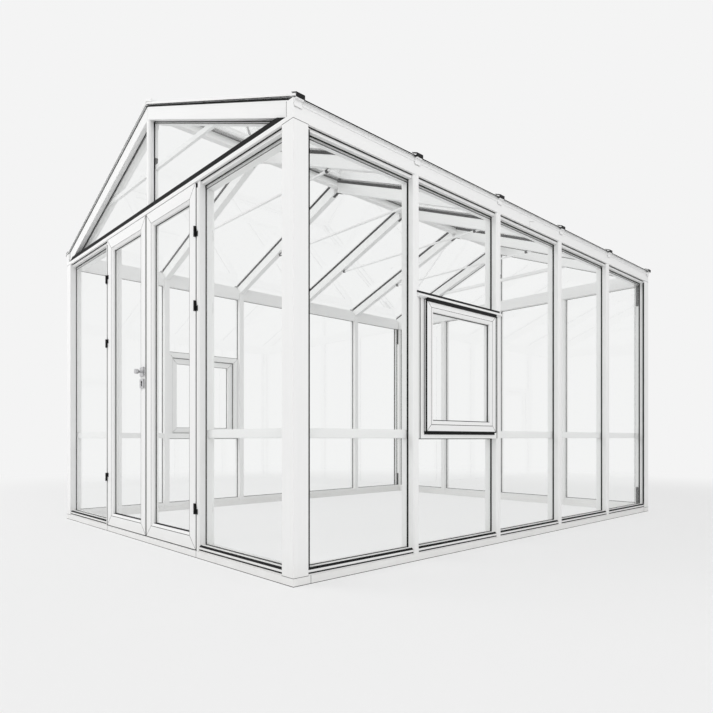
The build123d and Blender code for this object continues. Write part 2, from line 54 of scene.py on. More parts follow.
Pair = tuple[float, float]
Colour = tuple[float, float, float]
Point = tuple[float, float, float]
Rgba = tuple[float, float, float, float]
Socket = bpy.types.NodeSocket


class Body(Enum):
    """The three bodies that pieces ride on."""

    HOUSE = "house"
    LEFT_DOOR = "left_door"
    RIGHT_DOOR = "right_door"


class Slot(Enum):
    """Material slots of the record."""

    TIMBER = "painted_timber"
    GLASS = "clear_glass"
    BLACK_METAL = "black_metal"
    RUBBER = "black_rubber"
    STEEL = "satin_steel"
    WHITE_METAL = "white_metal"


class Grain(Enum):
    """Which way the wood runs in a piece, as a turn in degrees that brings its length to X."""

    ACROSS = (0.0, 0.0, 0.0)
    ALONG = (0.0, 0.0, -90.0)
    UPRIGHT = (0.0, 90.0, 0.0)
    SLOPED = (0.0, -ROOF_PITCH_DEGREES, 0.0)


class NodeSheet:
    """Adds and links the nodes of one shader tree."""

    # Places of factor, low and high among a mix node's inputs, and of its result.
    mix_sockets = {"FLOAT": (0, 2, 3, 0), "RGBA": (0, 6, 7, 2)}

    def __init__(self, tree: bpy.types.NodeTree) -> None:
        """Starts on an empty tree."""
        self.tree = tree
        tree.nodes.clear()

    def add(self, kind: str, **settings: object) -> bpy.types.Node:
        """Adds a node.

        Args:
            kind: Blender's node type.
            settings: properties of the node, such as operation.

        Returns:
            The new node.
        """
        node = self.tree.nodes.new(kind)
        for name, value in settings.items():
            setattr(node, name, value)
        return node

    def plug(self, sockets: Sequence[Socket], sources: Sequence[object]) -> None:
        """Links inputs to other sockets, or sets them to plain values.

        Args:
            sockets: the inputs.
            sources: a socket, number or colour for each input.
        """
        for socket, source in zip(sockets, sources):
            if isinstance(source, Socket):
                self.tree.links.new(source, socket)
            else:
                socket.default_value = source

    def feed(self, node: bpy.types.Node, **sources: object) -> None:
        """Plugs inputs of a node by name, with spaces written as underscores."""
        sockets = [node.inputs[name.replace("_", " ")] for name in sources]
        self.plug(sockets, list(sources.values()))

    def math(self, operation: str, first: object, second: object) -> Socket:
        """Adds a two-number step, such as a product.

        Args:
            operation: Blender's name of the step.
            first: socket or number.
            second: socket or number.

        Returns:
            The result's socket.
        """
        node = self.add("ShaderNodeMath", operation=operation)
        self.plug(node.inputs, (first, second))
        return node.outputs[0]

    def mix(self, kind: str, factor: object, low: object, high: object) -> Socket:
        """Adds a mix of two numbers or colours.

        Args:
            kind: FLOAT or RGBA.
            factor: socket or number from 0 to 1.
            low: socket or value at 0.
            high: socket or value at 1.

        Returns:
            The mixed value's socket.
        """
        node = self.add("ShaderNodeMix", data_type=kind)
        *places, result = self.mix_sockets[kind]
        self.plug([node.inputs[index] for index in places], (factor, low, high))
        return node.outputs[result]

    def overlay(self, factor: object, first: bpy.types.Node, second: bpy.types.Node) -> Socket:
        """Adds a mix of two shaders.

        Args:
            factor: socket or number from 0 to 1.
            first: shader that shows at 0.
            second: shader that shows at 1.

        Returns:
            The mixed shader's socket.
        """
        node = self.add("ShaderNodeMixShader")
        self.plug(node.inputs, (factor, first.outputs[0], second.outputs[0]))
        return node.outputs[0]

    def place(self) -> Socket:
        """Adds the coordinates of the piece, which are those of the house at rest."""
        return self.add("ShaderNodeTexCoord").outputs["Object"]


def blank_material(name: str) -> tuple[bpy.types.Material, NodeSheet]:
    """Makes a material with no nodes yet.

    Args:
        name: the material's name.

    Returns:
        The material and the sheet of its nodes.
    """
    made = bpy.data.materials.new(name)
    made.use_nodes = True
    return made, NodeSheet(made.node_tree)


def opaque(colour: Colour) -> Rgba:
    """The colour with full alpha."""
    return (*colour, 1.0)


def grey(tone: float) -> Rgba:
    """The neutral colour of one tone."""
    return (tone, tone, tone, 1.0)


class EffectGroup:
    """A shader node group with named sockets, built once and shared by the finishes."""

    def __init__(self, name: str, numbers: dict[str, float], outputs: Sequence[str]) -> None:
        """Makes the group with a Vector input, number inputs and value outputs.

        Args:
            name: the group's name.
            numbers: default of each number input, by name.
            outputs: names of the value outputs.
        """
        self.tree = bpy.data.node_groups.new(name, "ShaderNodeTree")
        self.sheet = NodeSheet(self.tree)
        board = self.tree.interface
        board.new_socket("Vector", in_out="INPUT", socket_type="NodeSocketVector")
        for title, default in numbers.items():
            socket = board.new_socket(title, in_out="INPUT", socket_type="NodeSocketFloat")
            socket.default_value = default
        for title in outputs:
            board.new_socket(title, in_out="OUTPUT", socket_type="NodeSocketFloat")
        self.inside = self.sheet.add("NodeGroupInput").outputs
        self.result = self.sheet.add("NodeGroupOutput")

    def put(self, sheet: NodeSheet, **sources: object) -> bpy.types.NodeOutputs:
        """Puts the group in a material.

        Args:
            sheet: the material's nodes.
            sources: inputs by name.

        Returns:
            The outputs of the group's node.
        """
        node = sheet.add("ShaderNodeGroup", node_tree=self.tree)
        sheet.feed(node, **sources)
        return node.outputs


class Effects:
    """The shared effects: brushed grain, fine mottle and soil splashed up from the ground."""

    streak_stretch = (0.045, 1.0, 1.0)
    streak_detail = 4.0
    streak_wander = 0.4
    bristle_ratio = 5.0
    bristle_detail = 2.0
    bristle_share = 0.35
    mottle_detail = 3.0
    mottle_band = (0.3, 0.7)
    soil_scale = 9.0
    soil_detail = 6.0
    soil_roughness = 0.65

    def __init__(self) -> None:
        """Builds every group once."""
        self.grain = self.brushed_grain()
        self.mottle = self.fine_mottle()
        self.soil = self.splashed_soil()

    def brushed_grain(self) -> EffectGroup:
        """Streaks along X of a brushed, painted board.

        Returns:
            A group with Tone, which shifts the colour, and Height, which feeds a bump.
        """
        group = EffectGroup("brushed_grain", {"Fineness": 60.0}, ["Tone", "Height"])
        sheet, inside = group.sheet, group.inside
        stretch = sheet.add("ShaderNodeMapping")
        sheet.feed(stretch, Vector=inside["Vector"], Scale=self.streak_stretch)
        along = stretch.outputs[0]
        streaks = sheet.add("ShaderNodeTexNoise")
        sheet.feed(streaks, Vector=along, Scale=inside["Fineness"])
        sheet.feed(streaks, Detail=self.streak_detail, Distortion=self.streak_wander)
        finer = sheet.math("MULTIPLY", inside["Fineness"], self.bristle_ratio)
        bristles = sheet.add("ShaderNodeTexNoise")
        sheet.feed(bristles, Vector=along, Scale=finer, Detail=self.bristle_detail)
        tone = streaks.outputs["Fac"]
        height = sheet.mix("FLOAT", self.bristle_share, tone, bristles.outputs["Fac"])
        sheet.feed(group.result, Tone=tone, Height=height)
        return group

    def fine_mottle(self) -> EffectGroup:
        """Uneven value between two limits, for roughness.

        Returns:
            A group with one Value.
        """
        numbers = {"Scale": 40.0, "Low": 0.3, "High": 0.5}
        group = EffectGroup("fine_mottle", numbers, ["Value"])
        sheet, inside = group.sheet, group.inside
        noise = sheet.add("ShaderNodeTexNoise")
        sheet.feed(noise, Vector=inside["Vector"], Scale=inside["Scale"], Detail=self.mottle_detail)
        spread = sheet.add("ShaderNodeMapRange")
        least, most = self.mottle_band
        sheet.feed(spread, Value=noise.outputs["Fac"], From_Min=least, From_Max=most)
        sheet.feed(spread, To_Min=inside["Low"], To_Max=inside["High"])
        sheet.feed(group.result, Value=spread.outputs[0])
        return group

    def splashed_soil(self) -> EffectGroup:
        """Patchy mask that fades out with height above the ground.

        Returns:
            A group with one Mask.
        """
        group = EffectGroup("splashed_soil", {"Reach": 0.2, "Amount": 0.2}, ["Mask"])
        sheet, inside = group.sheet, group.inside
        split = sheet.add("ShaderNodeSeparateXYZ")
        sheet.feed(split, Vector=inside["Vector"])
        fade = sheet.add("ShaderNodeMapRange", interpolation_type="SMOOTHSTEP")
        sheet.feed(fade, Value=split.outputs["Z"], From_Max=inside["Reach"], To_Min=1.0, To_Max=0.0)
        patches = sheet.add("ShaderNodeTexNoise")
        sheet.feed(patches, Vector=inside["Vector"], Scale=self.soil_scale)
        sheet.feed(patches, Detail=self.soil_detail, Roughness=self.soil_roughness)
        mask = sheet.math("MULTIPLY", fade.outputs[0], patches.outputs["Fac"])
        sheet.feed(group.result, Mask=sheet.math("MULTIPLY", mask, inside["Amount"]))
        return group


@dataclass(frozen=True)
class Coating:
    """An opaque finish: paint on timber or metal, or moulded rubber."""

    name: str
    low: Colour
    high: Colour
    smooth: float
    rough: float
    mottle_scale: float
    fineness: float = 0.0
    bump: float = 0.05
    bump_distance: float = 0.001
    soil: Colour = (0.42, 0.38, 0.32)
    soil_amount: float = 0.0
    soil_reach: float = 0.16
    metallic: float = 0.0
    specular: float = 0.5

    def material(self, effects: Effects, run: Grain | None = None) -> bpy.types.Material:
        """Makes the material.

        Args:
            effects: the shared node groups.
            run: which way the wood runs, or None where there is no grain.

        Returns:
            The finished material.
        """
        title = self.name if run is None else f"{self.name}_{run.name.lower()}"
        made, sheet = blank_material(title)
        place = sheet.place()
        uneven = {"Vector": place, "Scale": self.mottle_scale}
        roughness = effects.mottle.put(sheet, **uneven, Low=self.smooth, High=self.rough)["Value"]
        if run is None:
            tone = height = effects.mottle.put(sheet, **uneven, Low=0.0, High=1.0)["Value"]
        else:
            along = self.turned(sheet, place, run)
            grain = effects.grain.put(sheet, Vector=along, Fineness=self.fineness)
            tone, height = grain["Tone"], grain["Height"]
        colour = sheet.mix("RGBA", tone, opaque(self.low), opaque(self.high))
        if self.soil_amount:
            splash = {"Reach": self.soil_reach, "Amount": self.soil_amount}
            mask = effects.soil.put(sheet, Vector=place, **splash)["Mask"]
            colour = sheet.mix("RGBA", mask, colour, opaque(self.soil))
        bump = sheet.add("ShaderNodeBump")
        sheet.feed(bump, Strength=self.bump, Distance=self.bump_distance, Height=height)
        shader = sheet.add("ShaderNodeBsdfPrincipled")
        sheet.feed(shader, Metallic=self.metallic, Specular_IOR_Level=self.specular)
        sheet.feed(shader, Base_Color=colour, Roughness=roughness, Normal=bump.outputs[0])
        sheet.feed(sheet.add("ShaderNodeOutputMaterial"), Surface=shader.outputs[0])
        return made

    def turned(self, sheet: NodeSheet, place: Socket, run: Grain) -> Socket:
        """Turns the coordinates so that the wood runs along X.

        Args:
            sheet: the material's nodes.
            place: the piece's coordinates.
            run: which way the wood runs.

        Returns:
            The turned coordinates.
        """
        if run is Grain.SLOPED:
            split = sheet.add("ShaderNodeSeparateXYZ")
            sheet.feed(split, Vector=place)
            joined = sheet.add("ShaderNodeCombineXYZ")
            sheet.feed(joined, X=sheet.math("ABSOLUTE", split.outputs["X"], 0.0))
            sheet.feed(joined, Y=split.outputs["Y"], Z=split.outputs["Z"])
            place = joined.outputs[0]
        turn = sheet.add("ShaderNodeMapping")
        sheet.feed(turn, Vector=place, Rotation=[math.radians(angle) for angle in run.value])
        return turn.outputs[0]


@dataclass(frozen=True)
class ClearGlass:
    """Flat clear glass that lets lamp light through."""

    name: str = "clear_glass"
    tint: Colour = (0.994, 0.998, 0.996)
    ior: float = 1.45
    smooth: float = 0.0
    rough: float = 0.012
    smear_scale: float = 3.0

    def material(self, effects: Effects) -> bpy.types.Material:
        """Makes the material.

        Args:
            effects: the shared node groups.

        Returns:
            The finished material.
        """
        made, sheet = blank_material(self.name)
        limits = {"Low": self.smooth, "High": self.rough}
        smears = effects.mottle.put(sheet, Vector=sheet.place(), Scale=self.smear_scale, **limits)
        shader = sheet.add("ShaderNodeBsdfPrincipled")
        sheet.feed(shader, Base_Color=opaque(self.tint), IOR=self.ior, Transmission_Weight=1.0)
        sheet.feed(shader, Roughness=smears["Value"])
        open_pane = sheet.add("ShaderNodeBsdfTransparent")
        sheet.feed(open_pane, Color=opaque(self.tint))
        rays = sheet.add("ShaderNodeLightPath").outputs
        passing = sheet.math("MAXIMUM", rays["Is Shadow Ray"], rays["Is Diffuse Ray"])
        surface = sheet.overlay(passing, shader, open_pane)
        sheet.feed(sheet.add("ShaderNodeOutputMaterial"), Surface=surface)
        return made


@dataclass(frozen=True)
class Finish:
    """A material with the record's slot that it stands for."""

    material: bpy.types.Material
    slot: Slot


class Palette:
    """Every finish of the house, made once."""

    white_paint = Coating(
        "white_paint", low=(0.85, 0.85, 0.847), high=(0.90, 0.90, 0.897), smooth=0.36, rough=0.52,
        mottle_scale=14.0, fineness=70.0, bump=0.12, soil_amount=0.22,
    )
    black_rubber = Coating(
        "black_rubber", low=(0.004, 0.004, 0.0045), high=(0.009, 0.009, 0.0095),
        smooth=0.62, rough=0.80, mottle_scale=220.0, bump=0.08, specular=0.25,
    )
    black_iron = Coating(
        "black_iron", low=(0.005, 0.005, 0.0055), high=(0.011, 0.011, 0.0115),
        smooth=0.42, rough=0.58, mottle_scale=300.0, bump=0.15, specular=0.2,
    )
    white_enamel = Coating(
        "white_enamel", low=(0.85, 0.85, 0.85), high=(0.89, 0.89, 0.89), smooth=0.26, rough=0.36,
        mottle_scale=60.0, bump=0.03,
    )
    satin_steel = Coating(
        "satin_steel", low=(0.55, 0.55, 0.56), high=(0.66, 0.66, 0.67), smooth=0.24, rough=0.36,
        mottle_scale=90.0, bump=0.04, metallic=1.0,
    )
    # Near-black finish of the keyholes: painted shade of the hole in the lock.
    keyhole_shade_black = Coating(
        "keyhole_shade_black", low=(0.006, 0.006, 0.006), high=(0.010, 0.010, 0.010),
        smooth=0.8, rough=0.9, mottle_scale=100.0,
    )
    # Dark finish of the joint lines, also used for lines of painted shade at the bevels of sashes
    # and doors and along the walls' foot.
    joint_and_shade_coat = Coating(
        "joint_and_shade_coat", low=(0.02, 0.02, 0.02), high=(0.04, 0.04, 0.04), smooth=0.7, rough=0.85,
        mottle_scale=100.0,
    )

    def __init__(self) -> None:
        """Makes the shared effects, and a finish of each kind."""
        effects = Effects()
        paint = self.white_paint
        self.glass = Finish(ClearGlass().material(effects), Slot.GLASS)
        self.timber = {run: Finish(paint.material(effects, run), Slot.TIMBER) for run in Grain}
        self.rubber = Finish(self.black_rubber.material(effects), Slot.RUBBER)
        self.iron = Finish(self.black_iron.material(effects), Slot.BLACK_METAL)
        self.enamel = Finish(self.white_enamel.material(effects), Slot.WHITE_METAL)
        self.steel = Finish(self.satin_steel.material(effects), Slot.STEEL)
        # The keyholes' finish is painted shade of the hole in the lock.
        self.keyhole_shade = Finish(self.keyhole_shade_black.material(effects), Slot.STEEL)
        # Finish of the joint lines and of the lines of painted shade.
        self.seam = Finish(self.joint_and_shade_coat.material(effects), Slot.TIMBER)


@dataclass(frozen=True)
class Place:
    """Local axes: along a wall or slope, inwards from its face, and up."""

    origin: Vector
    along: Vector
    inward: Vector
    up: Vector = Vector((0, 0, 1))

    def at(self, u: float, setback: float, z: float) -> Vector:
        """Point of the house at local distances."""
        return self.origin + self.along * u + self.inward * setback + self.up * z


def rectangle(u0: float, u1: float, z0: float, z1: float) -> list[Pair]:
    """Corners of a rectangle, anticlockwise."""
    return [(u0, z0), (u1, z0), (u1, z1), (u0, z1)]


@dataclass(frozen=True)
class Panel:
    """An upright rectangle in the plane of a wall, such as a sash or a door leaf."""

    start: float
    end: float
    foot: float
    head: float

    def inside(self, inset: float) -> "Panel":
        """The rectangle at some distance inside this one."""
        ends = (self.start + inset, self.end - inset)
        return Panel(*ends, self.foot + inset, self.head - inset)

    @property
    def corners(self) -> list[Pair]:
        """Its corners, anticlockwise."""
        return rectangle(*self.width, *self.height)

    @property
    def width(self) -> Pair:
        """Its two ends along the wall."""
        return (self.start, self.end)

    @property
    def height(self) -> Pair:
        """Its foot and head."""
        return (self.foot, self.head)


@dataclass(frozen=True)
class Opening:
    """A glazed opening of a wall, whose head differs outside and inside the glass."""

    wall: Place
    start: float
    end: float
    foot: float
    outer_head: float
    inner_head: float


@dataclass(frozen=True)
class House:
    """Main sizes, read from the frame, and the sections that its timbers share."""

    half_width: float
    half_length: float
    corner: float
    sill: float
    head: float
    eaves: float
    apex: float
    glass_near: float
    glass_far: float
    door_edge: float
    post_half: float = 0.0225
    bay_count: int = 5
    back_post: float = 0.712
    rail_height: float = 0.032
    rail_setback: float = 0.006
    rail_chamfer: float = 0.009
    bead_height: float = 0.018
    bead_setback: float = 0.018
    side_plate_drop: float = 0.030
    tie_drop: float = 0.035
    tie_top_rise: float = 0.065
    tie_face: float = 0.022
    door_post_face: float = 0.026
    barge_depth: float = 0.080
    barge_setback: float = 0.010
    flashing_rise: float = 0.056
    rafter_depth: float = 0.088
    king_cap_half: float = 0.0225
    plinth_depth: float = 0.095
    eaves_depth: float = 0.050
    glass_inner: float = 0.050
    pane: float = 0.004
    ridge_half: float = 0.0225
    roof_cap_height: float = 0.014

    @classmethod
    def measure(cls) -> "House":
        """Reads the sizes from the CAD nodes.

        Returns:
            The sizes of this house.
        """
        post_low, post_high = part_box("corner_posts")
        glass_low, glass_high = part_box("right_wall_glass")
        return cls(
            half_width=post_high.x,
            half_length=post_high.y,
            corner=post_high.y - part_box("right_wall_rails")[1].y,
            sill=post_low.z,
            head=post_high.z,
            eaves=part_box("eaves_beams")[1].z,
            apex=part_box("ridge_beam")[1].z,
            glass_near=post_high.x - glass_high.x,
            glass_far=post_high.x - glass_low.x,
            door_edge=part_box("door_threshold")[1].x,
        )

    @property
    def rise(self) -> float:
        """Slope of the roof as height over run."""
        return (self.apex - self.eaves) / self.half_width

    @property
    def pitch(self) -> float:
        """Slope of the roof as an angle."""
        return math.atan(self.rise)

    @property
    def flashing_top(self) -> float:
        """Top of the black flashings under the gable panes."""
        return self.head + self.flashing_rise

    @property
    def rail_top(self) -> float:
        """Top of the bottom rails."""
        return self.sill + self.rail_height

    @property
    def outer_head(self) -> float:
        """Head of the openings outside the glass."""
        return self.head - self.bead_height

    @property
    def side_head(self) -> float:
        """Head of the long walls' openings inside the glass."""
        return self.head - self.side_plate_drop

    @property
    def end_head(self) -> float:
        """Head of the end walls' openings inside the glass, and of the doorway."""
        return self.head - self.tie_drop

    @property
    def bay_lines(self) -> list[float]:
        """Finds the posts of the long walls.

        Returns:
            Their middle lines, corner posts included.
        """
        spacing = (2 * self.half_length - self.corner) / self.bay_count
        first = self.corner / 2 - self.half_length
        return [first + index * spacing for index in range(self.bay_count + 1)]

    def bays(self, edge: float, posts: Sequence[float]) -> list[Pair]:
        """Clear openings between the corner posts and the posts of a wall.

        Args:
            edge: inner edge of the corner posts, from the middle of the wall.
            posts: middle lines of the posts.

        Returns:
            Start and end of each opening.
        """
        starts = [-edge] + [post + self.post_half for post in posts]
        ends = [post - self.post_half for post in posts] + [edge]
        return list(zip(starts, ends))

    @property
    def side_bays(self) -> list[Pair]:
        """Clear openings of a long wall."""
        return self.bays(self.half_length - self.corner, self.bay_lines[1:-1])

    @property
    def back_bays(self) -> list[Pair]:
        """Clear openings of the back wall."""
        posts = (-self.back_post, 0.0, self.back_post)
        return self.bays(self.half_width - self.corner, posts)

    @property
    def sidelights(self) -> list[Pair]:
        """Finds the clear openings beside the doors.

        Returns:
            Start and end of each opening.
        """
        near = self.door_edge + self.door_post_face
        far = self.half_width - self.corner
        return [(near, far), (-far, -near)]

    @property
    def rafter_lines(self) -> list[float]:
        """Middle lines of the rafters, the gable rafters first and last."""
        gable = self.half_length - self.glass_inner - self.post_half
        return [-gable, *self.bay_lines[1:-1], gable]

    @property
    def cap_lines(self) -> list[float]:
        """Middle lines of the caps over the roof glass."""
        edge = self.half_length - self.post_half
        return [-edge, *self.bay_lines[1:-1], edge]

    @property
    def front(self) -> Place:
        """Axes of the front wall."""
        return Place(Vector((0, -self.half_length, 0)), Vector((1, 0, 0)), Vector((0, 1, 0)))

    @property
    def back(self) -> Place:
        """Axes of the back wall."""
        return Place(Vector((0, self.half_length, 0)), Vector((-1, 0, 0)), Vector((0, -1, 0)))

    @property
    def long_walls(self) -> list[Place]:
        """Axes of the right and the left wall."""
        edges = [Vector((side, 0, 0)) for side in BOTH_SIDES]
        return [Place(edge * self.half_width, Vector((0, 1, 0)), -edge) for edge in edges]

    def slope(self, side: int, line: float) -> Place:
        """Axes of a roof slope at one place along the house.

        Args:
            side: 1 for the right slope, -1 for the left one.
            line: distance along the house.

        Returns:
            Axes that run down the slope, into the roof and along the house.
        """
        down = Vector((side * math.cos(self.pitch), 0, -math.sin(self.pitch)))
        into = Vector((-side * math.sin(self.pitch), 0, -math.cos(self.pitch)))
        return Place(Vector((0, line, self.apex)), down, into, Vector((0, 1, 0)))

    def down_slope(self, x: float) -> float:
        """Distance down the slope of a point at x across the house."""
        return x / math.cos(self.pitch)

    def roof_at(self, x: float) -> float:
        """Height of the roof plane at x across the house."""
        return self.apex - abs(x) * self.rise

    def rafter_under(self, x: float) -> float:
        """Height of the rafters' lower edge at x across the house."""
        return self.roof_at(x) - self.rafter_depth / math.cos(self.pitch)


def anticlockwise(corners: Sequence[Pair]) -> list[Pair]:
    """Corners in the order that keeps the opening on the left.

    Args:
        corners: the outline of an opening.

    Returns:
        The same corners, reversed where they ran clockwise.
    """
    following = list(corners[1:]) + [corners[0]]
    area = sum(a[0] * b[1] - b[0] * a[1] for a, b in zip(corners, following))
    return list(corners) if area > 0 else list(reversed(corners))


def mitre(corners: Sequence[Pair], index: int) -> Vector:
    """Step at one corner for each unit of inset.

    Args:
        corners: anticlockwise outline of an opening.
        index: which corner.

    Returns:
        The step in the plane of the outline.
    """
    here = Vector(corners[index])
    before = (here - Vector(corners[index - 1])).normalized()
    after = (Vector(corners[(index + 1) % len(corners)]) - here).normalized()
    first = Vector((-before.y, before.x))
    second = Vector((-after.y, after.x))
    return (first + second) / (1.0 + first.dot(second))


class Shaper:
    """Collects the solids of one piece before it becomes a mesh."""

    smooth_angle = math.radians(35.0)

    def __init__(self) -> None:
        """Starts with nothing."""
        self.mesh = bmesh.new()

    def skin(self, rings: Sequence[Sequence[Vector]], closed: bool = False) -> None:
        """Skins a tube through rings of points.

        Args:
            rings: rings with the same number of points.
            closed: True where the last ring joins the first one.
        """
        made = [[self.mesh.verts.new(point) for point in ring] for ring in rings]
        spans = len(made) if closed else len(made) - 1
        for index in range(spans):
            near, far = made[index], made[(index + 1) % len(made)]
            for j in range(len(near)):
                k = (j + 1) % len(near)
                self.mesh.faces.new((near[j], near[k], far[k], far[j]))
        if not closed:
            self.mesh.faces.new(list(reversed(made[0])))
            self.mesh.faces.new(made[-1])

    def surround(
        self, place: Place, corners: Sequence[Pair], profile: Sequence[Pair]
    ) -> None:
        """Lays a mitred strip round an opening.

        Args:
            place: axes of the wall.
            corners: outline of the opening, as (along, up).
            profile: section of the strip, as (inset, setback).
        """
        ordered = anticlockwise(corners)
        rings = []
        for index, (u, z) in enumerate(ordered):
            step = mitre(ordered, index)
            rings.append([place.at(u + step.x * t, depth, z + step.y * t) for t, depth in profile])
        self.skin(rings, closed=True)

    def strip(self, place: Place, along: Pair, profile: Sequence[Pair]) -> None:
        """Lays a straight strip along a wall or slope.

        Args:
            place: axes of the wall or slope.
            along: its two ends.
            profile: section of the strip, as (setback, up).
        """
        self.skin([[place.at(u, setback, z) for setback, z in profile] for u in along])

    def bar(self, place: Place, along: Pair, setback: Pair, up: Pair) -> None:
        """Adds a straight bar between two distances on each axis."""
        self.strip(place, along, rectangle(*setback, *up))

    def slab(self, section: Sequence[Pair], ends: Pair) -> None:
        """Adds a slab with an (x, z) section between two distances along the house."""
        self.skin([[Vector((x, y, z)) for x, z in section] for y in ends])

    def seam(
        self, place: Place, start: Pair, end: Pair, setback: float, width: float, lift: float
    ) -> None:
        """Lays a very thin line on a face, such as the closed joint of a mitre.

        Args:
            place: axes of the wall.
            start: (along, up) of one end.
            end: (along, up) of the other end.
            setback: setback of the face.
            width: width of the line.
            lift: how far it stands off the face.
        """
        run = (Vector(end) - Vector(start)).normalized()
        side = Vector((-run.y, run.x)) * width / 2
        rings = []
        for middle in (Vector(start), Vector(end)):
            low, high = middle - side, middle + side
            face = [place.at(point.x, setback, point.y) for point in (low, high)]
            raised = [place.at(point.x, setback - lift, point.y) for point in (high, low)]
            rings.append(face + raised)
        self.skin(rings)

    def turned(
        self, start: Vector, axis: Vector, profile: Sequence[Pair], sides: int = 16
    ) -> None:
        """Turns a profile about an axis.

        Args:
            start: point on the axis where distances begin.
            axis: direction of the axis, one unit long.
            profile: (distance along the axis, radius) of each ring.
            sides: points in a ring.
        """
        across = axis.orthogonal().normalized()
        over = axis.cross(across)
        turns = [2 * math.pi * index / sides for index in range(sides)]
        spokes = [across * math.cos(turn) + over * math.sin(turn) for turn in turns]
        rings = []
        for distance, radius in profile:
            middle = start + axis * distance
            rings.append([middle + spoke * radius for spoke in spokes])
        self.skin(rings)

    def piece(self, name: str, finish: Finish, body: Body = Body.HOUSE) -> None:
        """Makes the piece and lets it ride on its body.

        Args:
            name: the piece's name.
            finish: its material and the record's slot.
            body: the body that it moves with.
        """
        bmesh.ops.recalc_face_normals(self.mesh, faces=self.mesh.faces)
        data = bpy.data.meshes.new(name)
        self.mesh.to_mesh(data)
        self.mesh.free()
        data.materials.append(finish.material)
        data.polygons.foreach_set("use_smooth", [True] * len(data.polygons))
        data.set_sharp_from_angle(angle=self.smooth_angle)
        made = bpy.data.objects.new(name, data)
        bpy.context.scene.collection.objects.link(made)
        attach(made, body.value)
        log.info("%s: %d faces on %s", name, len(data.polygons), body.value)


@dataclass
class Timberwork:
    """Dresses the CAD nodes: paint with its grain, glass, black iron and white metal."""

    palette: Palette
    edge_radius: float = 0.0014
    edge_steps: int = 2
    weld: float = 0.00002

    upright = (
        "corner_posts", "wall_posts", "glazing_caps", "door_posts", "king_posts",
        "left_door_stiles", "right_door_stiles", "window_frame_jambs", "window_sash_stiles",
    )
    across = (
        "back_wall_rails", "front_wall_rails", "tie_beams", "end_plinths", "door_threshold",
        "left_door_rails", "right_door_rails",
    )
    along = (
        "side_plinths", "left_wall_rails", "right_wall_rails", "eaves_beams", "ridge_beam",
        "ridge_cap", "window_frame_rails", "window_sash_rails", "window_drip_caps",
    )
    sloped = ("barge_boards", "rafters", "roof_caps")
    iron = ("hinge_post_halves", "left_door_hinges", "right_door_hinges")
    rubber = ("gable_flashings",)
    enamel = ("eaves_clips", "eaves_trims", "tie_rods")
    steel = ("left_door_furniture",)

    def dress(self) -> None:
        """Gives every CAD node its finish, and softens the edges of what isn't glass."""
        palette = self.palette
        groups = (
            (palette.timber[Grain.UPRIGHT], self.upright),
            (palette.timber[Grain.ACROSS], self.across),
            (palette.timber[Grain.ALONG], self.along),
            (palette.timber[Grain.SLOPED], self.sloped),
            (palette.iron, self.iron),
            (palette.rubber, self.rubber),
            (palette.enamel, self.enamel),
            (palette.steel, self.steel),
        )
        for finish, names in groups:
            for name in names:
                self.coat(name, finish)
                self.soften(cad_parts[name])
        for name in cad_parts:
            if name.endswith("_glass"):
                self.coat(name, palette.glass)

    @staticmethod
    def coat(name: str, finish: Finish) -> None:
        """Puts one material on a node.

        Args:
            name: the node.
            finish: its material.
        """
        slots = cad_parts[name].data.materials
        slots.clear()
        slots.append(finish.material)
        log.info("%s: %s", name, finish.material.name)

    def soften(self, node: bpy.types.Object) -> None:
        """Rounds the edges of a node a little.

        Args:
            node: the CAD node.
        """
        join = node.modifiers.new("joined_faces", "WELD")
        join.merge_threshold = self.weld
        edge = node.modifiers.new("soft_edges", "BEVEL")
        edge.width = self.edge_radius
        edge.segments = self.edge_steps
        edge.limit_method = "ANGLE"
        edge.harden_normals = True


@dataclass
class Trim:
    """A group of added pieces, with the house that it fits and the finishes to choose from."""

    house: House
    palette: Palette


